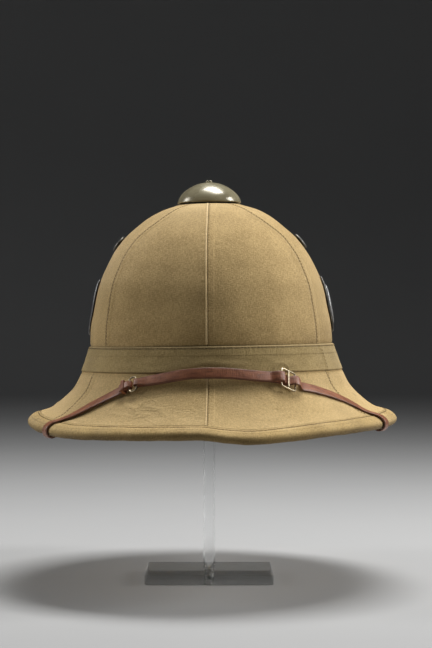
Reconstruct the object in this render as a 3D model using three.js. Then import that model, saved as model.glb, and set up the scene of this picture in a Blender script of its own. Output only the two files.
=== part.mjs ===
// A canvas-covered pith helmet on its display stand.
// Millimetres, +Z up, the helmet's front towards -Y, the stand's foot on Z = 0.
// A place on the helmet is given by its turn, in degrees from the front towards +X, and its height.
import * as THREE from 'three';
import { mergeVertices } from 'three/addons/utils/BufferGeometryUtils.js';

const DEG = Math.PI / 180;
const GAP = 0.3; // clearance between pieces that meet
const TURN_STEPS = 48; // sides round the crown and brim

// How the helmet sits on its stand: a slight lean towards -X about a line at the brim's level.
const HELMET = { lean: 0.85, pivotHeight: 125, y: -3.7 };

const SHELL_WALL = 6; // pith with canvas on both faces
const CLOTH = 1.2; // the hatband, doubled canvas
const BINDING = 1; // the canvas strip round the brim's edge

// Outer face of the crown at each height: half width, and half lengths to the front and rear.
const CROWN_LEVELS = [
  { height: 290.6, side: 24.4, front: 24.4, rear: 24.4 },
  { height: 286.1, side: 38.2, front: 40.8, rear: 42.2 },
  { height: 281.2, side: 47.2, front: 51.5, rear: 53.5 },
  { height: 275.2, side: 55.0, front: 61.0, rear: 63.5 },
  { height: 264.3, side: 67.2, front: 75.0, rear: 78.5 },
  { height: 252.1, side: 76.1, front: 86.0, rear: 89.5 },
  { height: 238.6, side: 83.0, front: 95.0, rear: 98.5 },
  { height: 225.3, side: 88.0, front: 101.5, rear: 105.0 },
  { height: 209.7, side: 91.0, front: 106.0, rear: 110.0 },
  { height: 194.1, side: 93.5, front: 109.4, rear: 113.4 },
  { height: 183.0, side: 93.9, front: 110.6, rear: 114.6 },
  { height: 181.8, side: 93.0, front: 109.8, rear: 113.8 },
  { height: 164.7, side: 98.4, front: 115.4, rear: 119.4 },
];
const CROWN_HOLE = { radius: 13, height: 291 };
const INNER_LEVELS = 10; // the inner wall follows this many of the outer levels, then drops to the foot

// The hatband's outer face. Its lower edge rides a little higher at the front left.
const HATBAND = {
  top: { height: 182, side: 94.8, front: 111.6, rear: 115.6 },
  foot: { height: 162.6, side: 101.4, front: 118.4, rear: 122.4 },
  wave: 0.8,
  highest: -50,
};

// The brim springs from this oval. Its run is measured outwards from the oval.
const BRIM_FOOT = { height: 164.4, side: 98.4, front: 115.4, rear: 119.4 };
const BRIM_RUN = { side: 43.2, front: 47.2, rear: 50.6 };
// Top face of the brim: how much of the drop to the rim is left at each share of the run.
const BRIM_PROFILE = [
  { reach: 0, side: 1, ends: 1 },
  { reach: 0.175, side: 0.709, ends: 0.715 },
  { reach: 0.386, side: 0.495, ends: 0.5 },
  { reach: 0.665, side: 0.3, ends: 0.285 },
  { reach: 0.85, side: 0.245, ends: 0.19 },
  { reach: 0.95, side: 0.205, ends: 0.168 },
  { reach: 1, side: 0.16, ends: 0.152 },
];
// Height of the brim's lowest line, which waves a little round the helmet.
const RIM_WAVE = [
  { turn: -180, height: 116 },
  { turn: -120, height: 118 },
  { turn: -90, height: 121.6 },
  { turn: -60, height: 117.6 },
  { turn: -45, height: 116 },
  { turn: -27, height: 116.8 },
  { turn: -4, height: 117.8 },
  { turn: 4, height: 115 },
  { turn: 11, height: 113.2 },
  { turn: 24, height: 115.2 },
  { turn: 37, height: 117 },
  { turn: 60, height: 118 },
  { turn: 90, height: 118.6 },
  { turn: 120, height: 118 },
  { turn: 180, height: 116 },
];
const RIM_RADIUS = 3.6; // rounding of the bound edge
const BINDING_REACH = 0.8; // the binding covers the brim from here outwards

const VENTILATOR = {
  cap: { radius: 24.8, rise: 16, rim: 292.4, wall: 1 },
  tube: { outer: 12.6, inner: 11.4, bottom: 283.9, top: 303.4 },
  flange: { radius: 19, bottom: 291.4, top: 292.2 },
  stud: { radius: 2.6, rise: 1.9 },
};
const SIDE_VENT = { height: 261, radius: 6.9, hole: 3.4, lift: 0.5, thickness: 1.9, floor: 0.6, bevel: 1.2 };

// A shield: half width at each share of its height, from its top down.
const BADGE = { top: 233.2, bottom: 190.6, lift: 0.7, thickness: 1.2 };
const BADGE_OUTLINE = [
  { share: 0, half: 14.5 },
  { share: 0.08, half: 16.6 },
  { share: 0.3, half: 16.2 },
  { share: 0.55, half: 15.4 },
  { share: 0.75, half: 12.0 },
  { share: 0.9, half: 6.6 },
  { share: 1, half: 1 },
];
const BOSS = { height: 212, halfHeight: 15, halfWidth: 9.5, thickness: 1.6, edge: 0.5, bluntness: 0.02 };
const PLATE_GRID = { rows: 12, columns: 8 };

// Straps. A place on a strap's route is a turn, a reach round the brim's section and a lift:
// reach 0 to 1 crosses the brim's top, 1 to 2 goes round its edge, 2 to 3 returns below it,
// and 3 to 4 climbs the crown's inner wall. The lift is the strap's middle above that face.
// Its distances are along a strap from the ring: where its taper ends, where its two layers have
// closed up, and where the short strap's folded layer ends.
const STRAP = { width: 7.6, thickness: 1.2, taper: 2.4, taperEnd: 12, closed: 10, foldedEnd: 8.5 };
const STRAP_LONG_ROUTE = [
  { turn: -29.8, reach: 0.118, lift: 3.6 },
  { turn: -24, reach: 0.093, lift: 3.1 },
  { turn: -18.5, reach: 0.071, lift: 3 },
  { turn: -10, reach: 0.042, lift: 3.6 },
  { turn: -2, reach: 0.033, lift: 4 },
  { turn: 7.5, reach: 0.038, lift: 4 },
  { turn: 19.2, reach: 0.064, lift: 3.4 },
  { turn: 26, reach: 0.079, lift: 2.7 },
  { turn: 30.6, reach: 0.108, lift: 2.3 },
  { turn: 36.4, reach: 0.163, lift: 1.3 },
  { turn: 44, reach: 0.22, lift: 1.1 },
  { turn: 52.6, reach: 0.34, lift: 1.1 },
  { turn: 59.2, reach: 0.53, lift: 1.1 },
  { turn: 60.4, reach: 0.78, lift: 1.15 },
  { turn: 60.6, reach: 0.96, lift: 1.5 },
  { turn: 60.8, reach: 1.25, lift: 1.5 },
  { turn: 61, reach: 1.5, lift: 1.3 },
  { turn: 61.4, reach: 1.75, lift: 1.3 },
  { turn: 62.4, reach: 2.04, lift: 1.8 },
  { turn: 66, reach: 2.26, lift: 2.3 },
  { turn: 72, reach: 2.56, lift: 1.4 },
  { turn: 78, reach: 2.82, lift: 1.1 },
  { turn: 82, reach: 3, lift: 1.2 },
  { turn: 84, reach: 3.2, lift: 1.2 },
];
const STRAP_LEFT_ROUTE = [
  { turn: -32.7, reach: 0.15, lift: 2.3 },
  { turn: -35.3, reach: 0.172, lift: 2.5 },
  { turn: -38.2, reach: 0.224, lift: 2.5 },
  { turn: -43.2, reach: 0.325, lift: 2.3 },
  { turn: -48.5, reach: 0.468, lift: 2.1 },
  { turn: -53, reach: 0.653, lift: 1.5 },
  { turn: -55, reach: 0.84, lift: 1.15 },
  { turn: -55.6, reach: 0.96, lift: 1.5 },
  { turn: -55.8, reach: 1.25, lift: 1.4 },
  { turn: -56, reach: 1.5, lift: 1.3 },
  { turn: -56.4, reach: 1.75, lift: 1.4 },
  { turn: -57.4, reach: 2.04, lift: 1.9 },
  { turn: -61.5, reach: 2.26, lift: 2.5 },
  { turn: -69.5, reach: 2.56, lift: 1.4 },
  { turn: -77, reach: 2.82, lift: 1.1 },
  { turn: -82, reach: 3, lift: 1.2 },
  { turn: -84, reach: 3.2, lift: 1.2 },
];
const ROUTE_SCALE = { turn: 1.8, reach: 45 }; // millimetres for a degree, and for a unit of reach
const ROUTE_STEPS = 5; // samples between two places of a route
const FOLD_STEPS = 6;
const SIDES = { cap: 32, collar: 28, stud: 16, sideVent: 28, anchor: 16, rod: 28, screw: 20, pad: 32 };
const DOME_STEPS = 7;
const RING_STEPS = { wire: 8, round: 24 };
const INNER_CLIMB = 30; // height of the inner wall that reach 3 to 4 covers
const UPRIGHT = new THREE.Vector2(Math.cos(18 * DEG), Math.sin(18 * DEG)); // the hatband's outward normal

const LAYERS = (STRAP.thickness + GAP) / 2; // each layer of the doubled strap, from their middle
const RING = { halfHeight: 6.1, wire: 0.6, squareness: 3, clearance: 0.7 };
const BUCKLE = { turn: 30.6, halfWidth: 6, halfHeight: 7.4, wire: 0.65, corner: 1.6, clearance: 0.95 };
// Distances from the buckle's middle where the strap starts and ends its climb over an outer bar,
// where it starts and ends its way down, and where it settles on the brim past its folded end.
const THREADING = { climb: [1.8, 5], descent: [7.6, 14], settling: [6, 16] };
const KEEPER = { distance: 4.3, width: 2.4, thickness: 0.8 };
const ANCHOR = { radius: 4.2, thickness: 1.2, samplesFromEnd: 4 };

const STAND = {
  x: -2.5,
  base: { width: 98, depth: 76, thickness: 7.4, corner: 1.5, hole: 3.9 },
  rod: { radius: 4.8 },
  pad: { radius: 22, thickness: 4, top: 283, bevel: 0.8 },
  screw: { head: 3.5, headHeight: 3, shank: 2, bottom: 0.5 },
};

// ---------------------------------------------------------------- tables and curves

// A monotone cubic through a table's rows: the column as a function of the key.
function curveThrough(rows, key, column) {
  const sorted = [...rows].sort((a, b) => a[key] - b[key]);
  const xs = sorted.map((row) => row[key]);
  const ys = sorted.map((row) => row[column]);
  const steps = xs.slice(1).map((x, i) => x - xs[i]);
  const slopes = steps.map((step, i) => (ys[i + 1] - ys[i]) / step);
  const tangents = xs.map((_, i) => {
    if (i === 0) return slopes[0];
    if (i === xs.length - 1) return slopes[i - 1];
    if (slopes[i - 1] * slopes[i] <= 0) return 0;
    const before = 2 * steps[i] + steps[i - 1];
    const after = steps[i] + 2 * steps[i - 1];
    return (before + after) / (before / slopes[i - 1] + after / slopes[i]);
  });
  return (x) => {
    const held = THREE.MathUtils.clamp(x, xs[0], xs[xs.length - 1]);
    let i = 0;
    while (i < xs.length - 2 && held >= xs[i + 1]) i += 1;
    const t = (held - xs[i]) / steps[i];
    const bend = t * t * (3 - 2 * t);
    return ys[i] * (1 - bend) + ys[i + 1] * bend
      + steps[i] * t * (1 - t) * (tangents[i] * (1 - t) - tangents[i + 1] * t);
  };
}

function smoothStep(from, to, x) {
  const t = THREE.MathUtils.clamp((x - from) / (to - from), 0, 1);
  return t * t * (3 - 2 * t);
}

// The point of a level's oval at a turn, and the oval's outward normal there.
function ovalAt(level, turn) {
  const sine = Math.sin(turn * DEG);
  const cosine = Math.cos(turn * DEG);
  const length = cosine > 0 ? level.front : level.rear;
  const normal = new THREE.Vector3(length * sine, -level.side * cosine, 0).normalize();
  return { point: new THREE.Vector3(level.side * sine, -length * cosine, level.height), normal };
}

// ---------------------------------------------------------------- faces of the crown and brim

const crownColumns = Object.fromEntries(['side', 'front', 'rear'].map(
  (column) => [column, curveThrough(CROWN_LEVELS, 'height', column)],
));

function crownLevel(height) {
  return {
    height,
    side: crownColumns.side(height),
    front: crownColumns.front(height),
    rear: crownColumns.rear(height),
  };
}

// The crown's outer face and its normal.
function crownFace(turn, height) {
  const point = ovalAt(crownLevel(height), turn).point;
  const across = ovalAt(crownLevel(height), turn + 0.5).point.sub(point);
  const up = ovalAt(crownLevel(height + 0.5), turn).point.sub(point);
  return { point, normal: across.cross(up).normalize() };
}

const rimHeight = curveThrough(RIM_WAVE, 'turn', 'height');
const sideRise = curveThrough(BRIM_PROFILE, 'reach', 'side');
const endsRise = curveThrough(BRIM_PROFILE, 'reach', 'ends');

// The brim's top face in the upright plane at a turn: x is outwards from the foot, y is the height.
function brimTop(turn, reach) {
  const facing = Math.cos(turn * DEG) ** 2;
  const end = Math.cos(turn * DEG) > 0 ? BRIM_RUN.front : BRIM_RUN.rear;
  const run = BRIM_RUN.side + (end - BRIM_RUN.side) * facing;
  const rise = (1 - facing) * sideRise(reach) + facing * endsRise(reach);
  const rim = rimHeight(turn);
  return new THREE.Vector2(reach * run, rim + (BRIM_FOOT.height - rim) * rise);
}

function brimNormal(turn, reach) {
  const before = brimTop(turn, Math.max(reach - 0.01, 0));
  const after = brimTop(turn, Math.min(reach + 0.01, 1));
  const along = after.sub(before).normalize();
  return new THREE.Vector2(-along.y, along.x);
}

// A point at a depth below the brim's top face.
function brimBelow(turn, reach, depth) {
  return brimTop(turn, reach).addScaledVector(brimNormal(turn, reach), -depth);
}

// A point of the edge's half round: the angle goes from 0 on top to 180 below.
function brimEdge(turn, angle, radius) {
  const up = brimNormal(turn, 1);
  const out = new THREE.Vector2(up.y, -up.x);
  return brimBelow(turn, 1, RIM_RADIUS)
    .addScaledVector(up, radius * Math.cos(angle * DEG))
    .addScaledVector(out, radius * Math.sin(angle * DEG));
}

// From the upright plane at a turn to the helmet's own space.
function stoodAt(turn, flat) {
  const { point, normal } = ovalAt(BRIM_FOOT, turn);
  return point.addScaledVector(normal, flat.x).setZ(flat.y);
}

// The face that the straps lie on, as a reach from 0 to 4, and its normal.
function strapFace(turn, reach) {
  let flat;
  let facing;
  if (reach <= 1) {
    flat = brimTop(turn, reach);
    facing = UPRIGHT.clone().lerp(brimNormal(turn, reach), smoothStep(0, 0.15, reach)).normalize();
  } else if (reach <= 2) {
    flat = brimEdge(turn, (reach - 1) * 180, RIM_RADIUS);
    facing = flat.clone().sub(brimEdge(turn, 0, 0)).normalize();
  } else if (reach <= 3) {
    const inward = 3 - reach;
    const proud = (2 * RIM_RADIUS - SHELL_WALL) * smoothStep(BINDING_REACH - 0.14, BINDING_REACH, inward);
    flat = brimBelow(turn, inward, SHELL_WALL + proud);
    facing = brimNormal(turn, inward).negate();
  } else {
    const height = BRIM_FOOT.height + (reach - 3) * INNER_CLIMB;
    const start = brimBelow(turn, 0, SHELL_WALL);
    const wall = crownLevel(height).side - crownLevel(BRIM_FOOT.height).side;
    flat = new THREE.Vector2(start.x + wall, height - BRIM_FOOT.height + start.y);
    facing = brimNormal(turn, 0).negate();
  }
  const { normal } = ovalAt(BRIM_FOOT, turn);
  const lifted = normal.clone().multiplyScalar(facing.x).setZ(facing.y);
  return { point: stoodAt(turn, flat), normal: lifted };
}

// ---------------------------------------------------------------- solids

function solidFrom(vertices, triangles) {
  const geometry = new THREE.BufferGeometry();
  geometry.setAttribute('position', new THREE.Float32BufferAttribute(vertices.flatMap((v) => v.toArray()), 3));
  geometry.setIndex(triangles);
  geometry.computeVertexNormals();
  return geometry;
}

// A ring through closed sections, one for each turn. Each runs anticlockwise seen from the turn behind.
function ringSolid(sectionAt) {
  const sections = Array.from({ length: TURN_STEPS }, (_, i) => sectionAt((i * 360) / TURN_STEPS - 180));
  const size = sections[0].length;
  const triangles = [];
  for (let i = 0; i < TURN_STEPS; i += 1) {
    const next = (i + 1) % TURN_STEPS;
    for (let j = 0; j < size; j += 1) {
      const k = (j + 1) % size;
      triangles.push(i * size + j, next * size + k, i * size + k);
      triangles.push(i * size + j, next * size + j, next * size + k);
    }
  }
  return solidFrom(sections.flat(), triangles);
}

// A plate between two grids of points with the same rows and columns.
function plateSolid(front, back) {
  const rows = front.length;
  const columns = front[0].length;
  const size = rows * columns;
  const triangles = [];
  const quad = (a, b, c, d) => triangles.push(a, b, c, a, c, d);
  for (let i = 0; i < rows - 1; i += 1) {
    for (let j = 0; j < columns - 1; j += 1) {
      const corner = i * columns + j;
      quad(corner, corner + columns, corner + columns + 1, corner + 1);
      quad(size + corner, size + corner + 1, size + corner + columns + 1, size + corner + columns);
    }
  }
  const rim = [];
  for (let j = 0; j < columns - 1; j += 1) rim.push(j);
  for (let i = 0; i < rows - 1; i += 1) rim.push(i * columns + columns - 1);
  for (let j = columns - 1; j > 0; j -= 1) rim.push((rows - 1) * columns + j);
  for (let i = rows - 1; i > 0; i -= 1) rim.push(i * columns);
  rim.forEach((corner, i) => {
    const next = rim[(i + 1) % rim.length];
    quad(corner, next, size + next, size + corner);
  });
  return solidFrom([...front.flat(), ...back.flat()], triangles);
}

// A flat strip along a path of samples, each a point, the direction across the strip and its width.
function stripSolid(samples, thickness) {
  const corners = [[-1, -1], [1, -1], [1, 1], [-1, 1]];
  const vertices = samples.flatMap(({ point, across, width }, i) => {
    const before = samples[Math.max(i - 1, 0)].point;
    const after = samples[Math.min(i + 1, samples.length - 1)].point;
    const along = after.clone().sub(before).normalize();
    const face = along.clone().cross(across).normalize();
    return corners.map(([w, h]) => point.clone()
      .addScaledVector(across, (w * width) / 2)
      .addScaledVector(face, (h * thickness) / 2));
  });
  const last = (samples.length - 1) * 4;
  const triangles = [0, 2, 1, 0, 3, 2, last, last + 1, last + 2, last, last + 2, last + 3];
  for (let i = 0; i < samples.length - 1; i += 1) {
    for (let j = 0; j < 4; j += 1) {
      const a = i * 4 + j;
      const b = i * 4 + ((j + 1) % 4);
      triangles.push(a, b, b + 4, a, b + 4, a + 4);
    }
  }
  return solidFrom(vertices, triangles);
}

// A solid of revolution about Z from [radius, height] pairs, anticlockwise with the radius to the right.
function turnedSolid(profile, sides) {
  const points = profile.map(([radius, height]) => new THREE.Vector2(radius, height));
  const geometry = new THREE.LatheGeometry(points, sides);
  geometry.rotateX(Math.PI / 2);
  geometry.deleteAttribute('normal');
  geometry.deleteAttribute('uv');
  const merged = mergeVertices(geometry);
  merged.computeVertexNormals();
  return merged;
}

// ---------------------------------------------------------------- shell

// Levels set in from the crown's outer face by a wall's thickness, square to its profile.
function insetLevels(levels, depth) {
  return levels.map((level, i) => {
    const above = levels[Math.max(i - 1, 0)];
    const below = levels[Math.min(i + 1, levels.length - 1)];
    const drop = above.height - below.height;
    const shrink = (column) => {
      const spread = below[column] - above[column];
      return level[column] - (depth * drop) / Math.hypot(drop, spread);
    };
    const spread = below.side - above.side;
    return {
      height: level.height - (depth * spread) / Math.hypot(drop, spread),
      side: shrink('side'),
      front: shrink('front'),
      rear: shrink('rear'),
    };
  });
}

function crownSolid() {
  const foot = CROWN_LEVELS[CROWN_LEVELS.length - 1];
  const innerFoot = {
    height: foot.height,
    side: foot.side - SHELL_WALL,
    front: foot.front - SHELL_WALL,
    rear: foot.rear - SHELL_WALL,
  };
  const inner = insetLevels(CROWN_LEVELS.slice(0, INNER_LEVELS), SHELL_WALL);
  const hole = (height) => ({ height, side: CROWN_HOLE.radius, front: CROWN_HOLE.radius, rear: CROWN_HOLE.radius });
  const loop = [
    hole(CROWN_HOLE.height),
    hole(inner[0].height),
    ...inner,
    innerFoot,
    ...[...CROWN_LEVELS].reverse(),
  ];
  return ringSolid((turn) => loop.map((level) => ovalAt(level, turn).point));
}

function hatbandSolid() {
  return ringSolid((turn) => {
    const { top, foot, wave, highest } = HATBAND;
    const lift = wave * Math.cos((turn - highest) * DEG);
    const slope = (top.height - foot.height) / (foot.side - top.side);
    const outer = [top, { ...foot, height: foot.height + lift }];
    outer[1].side -= lift / slope;
    outer[1].front -= lift / slope;
    outer[1].rear -= lift / slope;
    const inner = outer.map((level) => ({
      height: level.height,
      side: level.side - CLOTH,
      front: level.front - CLOTH,
      rear: level.rear - CLOTH,
    }));
    return [inner[0], inner[1], outer[1], outer[0]].map((level) => ovalAt(level, turn).point);
  });
}

function brimSolid() {
  const open = [0, 0.07, 0.175, 0.28, 0.386, 0.52, 0.665, BINDING_REACH];
  const bound = [BINDING_REACH, 0.9, 1];
  const inset = BINDING + GAP;
  return ringSolid((turn) => {
    const top = open.map((reach) => brimTop(turn, reach));
    const topBound = bound.map((reach) => brimBelow(turn, reach, inset));
    const edge = [45, 90, 135].map((angle) => brimEdge(turn, angle, RIM_RADIUS - inset));
    const under = bound.map((reach) => brimBelow(turn, reach, 2 * RIM_RADIUS - inset)).reverse();
    const bottom = open.slice(1, -1).map((reach) => brimBelow(turn, reach, SHELL_WALL)).reverse();
    const innerFoot = new THREE.Vector2(-SHELL_WALL, BRIM_FOOT.height);
    const loop = [...top, ...topBound, ...edge, ...under, ...bottom, innerFoot];
    return loop.reverse().map((flat) => stoodAt(turn, flat));
  });
}

function edgeBindingSolid() {
  const reaches = [BINDING_REACH + 0.01, 0.9, 1];
  const angles = [45, 90, 135];
  return ringSolid((turn) => {
    const layer = (inset) => [
      ...reaches.map((reach) => brimBelow(turn, reach, inset)),
      ...angles.map((angle) => brimEdge(turn, angle, RIM_RADIUS - inset)),
      ...reaches.map((reach) => brimBelow(turn, reach, 2 * RIM_RADIUS - inset)).reverse(),
    ];
    const loop = [...layer(0), ...layer(BINDING).reverse()];
    return loop.reverse().map((flat) => stoodAt(turn, flat));
  });
}

// ---------------------------------------------------------------- ventilators

function domeArc({ radius, rise, rim }, steps) {
  const ball = (radius * radius + rise * rise) / (2 * rise);
  const start = Math.asin((ball - rise) / ball);
  return Array.from({ length: steps + 1 }, (_, i) => {
    const angle = start + ((Math.PI / 2 - start) * i) / steps;
    return [i === steps ? 0 : ball * Math.cos(angle), rim + ball * Math.sin(angle) - (ball - rise)];
  });
}

function ventilatorCapSolid() {
  const { radius, rise, rim, wall } = VENTILATOR.cap;
  const outer = domeArc({ radius, rise, rim }, DOME_STEPS);
  const inner = domeArc({ radius: radius - wall, rise: rise - wall, rim }, DOME_STEPS).reverse();
  return turnedSolid([...inner, ...outer], SIDES.cap);
}

function ventilatorCollarSolid() {
  const { tube, flange } = VENTILATOR;
  return turnedSolid([
    [tube.inner, tube.bottom],
    [tube.outer, tube.bottom],
    [tube.outer, flange.bottom],
    [flange.radius, flange.bottom],
    [flange.radius, flange.top],
    [tube.outer, flange.top],
    [tube.outer, tube.top],
    [tube.inner, tube.top],
    [tube.inner, tube.bottom],
  ], SIDES.collar);
}

function ventilatorStudSolid() {
  const { cap, stud } = VENTILATOR;
  const foot = cap.rim + cap.rise + GAP;
  return turnedSolid([
    [0, foot],
    [stud.radius, foot],
    [stud.radius, foot + stud.rise * 0.45],
    [stud.radius * 0.6, foot + stud.rise * 0.9],
    [0, foot + stud.rise],
  ], SIDES.stud);
}

// Turned about the crown's own normal, with its middle at the side vent's height.
function sideVent(turn) {
  const { height, radius, hole, lift, thickness, floor, bevel } = SIDE_VENT;
  const geometry = turnedSolid([
    [0, lift],
    [radius, lift + bevel / 3],
    [radius, lift + thickness - bevel / 2],
    [radius - bevel, lift + thickness],
    [hole + bevel / 2, lift + thickness],
    [hole, lift + thickness - bevel / 3],
    [hole, lift + floor],
    [0, lift + floor],
  ], SIDES.sideVent);
  const { point, normal } = crownFace(turn, height);
  return onFace(geometry, point, normal, new THREE.Vector3(0, 0, 1));
}

// Stands a geometry on a face: its Z along the normal and its Y as near as can be to the given one.
function onFace(geometry, point, normal, upward) {
  const x = upward.clone().cross(normal).normalize();
  const y = normal.clone().cross(x);
  const frame = new THREE.Matrix4().makeBasis(x, y, normal).setPosition(point);
  return geometry.applyMatrix4(frame);
}

// ---------------------------------------------------------------- badges

// A plate that follows the crown: rows from its top down, each as wide as the outline says.
function crownPlate(turn, top, bottom, halfWidth, lift, thicknessAt) {
  const { rows, columns } = PLATE_GRID;
  const grid = (depth) => Array.from({ length: rows + 1 }, (_, i) => {
    const share = i / rows;
    const height = top + (bottom - top) * share;
    const degrees = halfWidth(share) / (crownLevel(height).front * DEG);
    return Array.from({ length: columns + 1 }, (_unused, j) => {
      const across = (2 * j) / columns - 1;
      const { point, normal } = crownFace(turn + across * degrees, height);
      return point.addScaledVector(normal, depth(share, across));
    });
  });
  return plateSolid(grid((share, across) => lift + thicknessAt(share, across)), grid(() => lift));
}

function badgeSolid(turn) {
  const outline = curveThrough(BADGE_OUTLINE, 'share', 'half');
  return crownPlate(turn, BADGE.top, BADGE.bottom, outline, BADGE.lift, () => BADGE.thickness);
}

function badgeBossSolid(turn) {
  const { height, halfHeight, halfWidth, thickness, edge, bluntness } = BOSS;
  const round = (share) => Math.sqrt(Math.max(1 - (2 * share - 1) ** 2, bluntness));
  const swell = (share, across) => {
    const dome = 1 - (across * round(share)) ** 2 - (2 * share - 1) ** 2;
    return edge + (thickness - edge) * Math.max(dome, 0);
  };
  const lift = BADGE.lift + BADGE.thickness + GAP;
  const half = (share) => halfWidth * round(share);
  return crownPlate(turn, height + halfHeight, height - halfHeight, half, lift, swell);
}

// ---------------------------------------------------------------- chin strap

// Samples along a route, each with its point, the face's normal, and the direction across the strap.
function routeSamples(route) {
  const { turn: perTurn, reach: perReach } = ROUTE_SCALE;
  const knots = route.map(({ turn, reach, lift }) => new THREE.Vector3(turn * perTurn, reach * perReach, lift));
  const curve = new THREE.CatmullRomCurve3(knots, false, 'catmullrom', 0.5);
  const samples = curve.getPoints(ROUTE_STEPS * (route.length - 1)).map(({ x, y, z: lift }) => {
    const turn = x / perTurn;
    const { point, normal } = strapFace(turn, y / perReach);
    return { turn, point: point.addScaledVector(normal, lift), normal };
  });
  samples.forEach((sample, i) => {
    const before = samples[Math.max(i - 1, 0)].point;
    const after = samples[Math.min(i + 1, samples.length - 1)].point;
    const along = after.clone().sub(before);
    if (route[0].turn > route[route.length - 1].turn) along.negate();
    sample.across = sample.normal.clone().cross(along).normalize();
    sample.normal = along.clone().cross(sample.across).normalize();
  });
  let distance = 0;
  samples.forEach((sample, i) => {
    if (i > 0) distance += sample.point.distanceTo(samples[i - 1].point);
    sample.distance = distance;
    sample.width = STRAP.width - STRAP.taper * (1 - smoothStep(0, STRAP.taperEnd, distance));
  });
  return samples;
}

const longSamples = routeSamples(STRAP_LONG_ROUTE);
const leftSamples = routeSamples(STRAP_LEFT_ROUTE);
const foldRadius = RING.wire + RING.clearance + STRAP.thickness / 2;

// Where the straps meet, both lie square to the ring's wire.
const ringAcross = longSamples[0].across.clone().add(leftSamples[0].across).normalize();
[...longSamples, ...leftSamples].forEach((sample) => {
  sample.across.lerp(ringAcross, 1 - smoothStep(0, STRAP.closed, sample.distance)).normalize();
});

function shifted(sample, amount) {
  return { ...sample, point: sample.point.clone().addScaledVector(sample.normal, amount) };
}

// How far a layer stands from the middle of a doubled strap: wide at the ring's wire, close beyond.
function layerSpread(distance) {
  return foldRadius + (LAYERS - foldRadius) * smoothStep(0, STRAP.closed, distance);
}

// The half turn round a ring's wire, from one layer to the other. The wire is at the route's start.
function foldSamples(first, second) {
  const away = first.point.clone().sub(second.point).normalize();
  return Array.from({ length: FOLD_STEPS - 1 }, (_, i) => {
    const angle = (Math.PI * (i + 1)) / FOLD_STEPS;
    const point = first.point.clone()
      .addScaledVector(away, foldRadius * Math.sin(angle))
      .addScaledVector(first.normal, foldRadius * Math.cos(angle));
    return { ...first, point };
  });
}

const buckleSample = longSamples.reduce((best, sample) => (
  Math.abs(sample.turn - BUCKLE.turn) < Math.abs(best.turn - BUCKLE.turn) ? sample : best
));
const buckleLift = LAYERS + STRAP.thickness / 2 + GAP + BUCKLE.wire;

// The long strap goes over the buckle's outer bars and behind its middle bar.
function threading(distance) {
  const over = BUCKLE.wire + BUCKLE.clearance + STRAP.thickness / 2;
  const fromMiddle = Math.abs(distance - buckleSample.distance);
  const climb = smoothStep(...THREADING.climb, fromMiddle);
  const descent = 1 - smoothStep(...THREADING.descent, fromMiddle);
  return (buckleLift + over - LAYERS) * Math.min(climb, descent);
}

function frontLayer(sample) {
  const pastBuckle = sample.distance - buckleSample.distance;
  const settled = smoothStep(...THREADING.settling, pastBuckle);
  const rest = pastBuckle < 0 ? layerSpread(sample.distance) : LAYERS * (1 - settled);
  return shifted(sample, rest + threading(sample.distance));
}

function strapLongSolid() {
  const doubled = longSamples.filter(({ distance }) => distance < buckleSample.distance + 1);
  const back = doubled.map((sample) => shifted(sample, -layerSpread(sample.distance))).reverse();
  const fold = foldSamples(longSamples[0], longSamples[1]).reverse();
  return stripSolid([...back, ...fold, ...longSamples.map(frontLayer)], STRAP.thickness);
}

function strapLeftSolid() {
  const folded = leftSamples.filter(({ distance }) => distance < STRAP.foldedEnd);
  const front = folded.map((sample) => shifted(sample, 2 * layerSpread(sample.distance))).reverse();
  const wire = shifted(leftSamples[0], foldRadius);
  const fold = foldSamples(wire, shifted(leftSamples[1], foldRadius));
  return stripSolid([...front, ...fold, ...leftSamples], STRAP.thickness);
}

function strapKeeperSolid() {
  const place = leftSamples.find(({ distance }) => distance > KEEPER.distance);
  const spread = (foldRadius + LAYERS) / 2;
  const half = { width: STRAP.width / 2 + GAP, height: spread + STRAP.thickness / 2 + 2 * GAP };
  const outline = rectangle(half.width + KEEPER.thickness, half.height + KEEPER.thickness);
  outline.holes.push(rectangle(half.width, half.height));
  const geometry = new THREE.ExtrudeGeometry(outline, { depth: KEEPER.width, bevelEnabled: false });
  geometry.translate(0, 0, -KEEPER.width / 2);
  geometry.rotateX(Math.PI / 2);
  const middle = place.point.clone().addScaledVector(place.normal, spread);
  const along = place.across.clone().cross(place.normal).negate();
  return onFace(geometry, middle, place.normal, along);
}

function rectangle(halfWidth, halfHeight) {
  const shape = new THREE.Shape();
  shape.moveTo(-halfWidth, -halfHeight);
  shape.lineTo(halfWidth, -halfHeight);
  shape.lineTo(halfWidth, halfHeight);
  shape.lineTo(-halfWidth, halfHeight);
  shape.closePath();
  return shape;
}

function roundedRectangle(halfWidth, halfHeight, corner) {
  const shape = new THREE.Shape();
  shape.moveTo(-halfWidth + corner, -halfHeight);
  shape.lineTo(halfWidth - corner, -halfHeight);
  shape.absarc(halfWidth - corner, -halfHeight + corner, corner, -Math.PI / 2, 0, false);
  shape.lineTo(halfWidth, halfHeight - corner);
  shape.absarc(halfWidth - corner, halfHeight - corner, corner, 0, Math.PI / 2, false);
  shape.lineTo(-halfWidth + corner, halfHeight);
  shape.absarc(-halfWidth + corner, halfHeight - corner, corner, Math.PI / 2, Math.PI, false);
  shape.lineTo(-halfWidth, -halfHeight + corner);
  shape.absarc(-halfWidth + corner, -halfHeight + corner, corner, Math.PI, 1.5 * Math.PI, false);
  return shape;
}

// Squares a circle's sine or cosine off, so that the ring's sides run straight behind the straps.
function squared(value) {
  return Math.sign(value) * Math.abs(value) ** (2 / RING.squareness);
}

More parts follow.
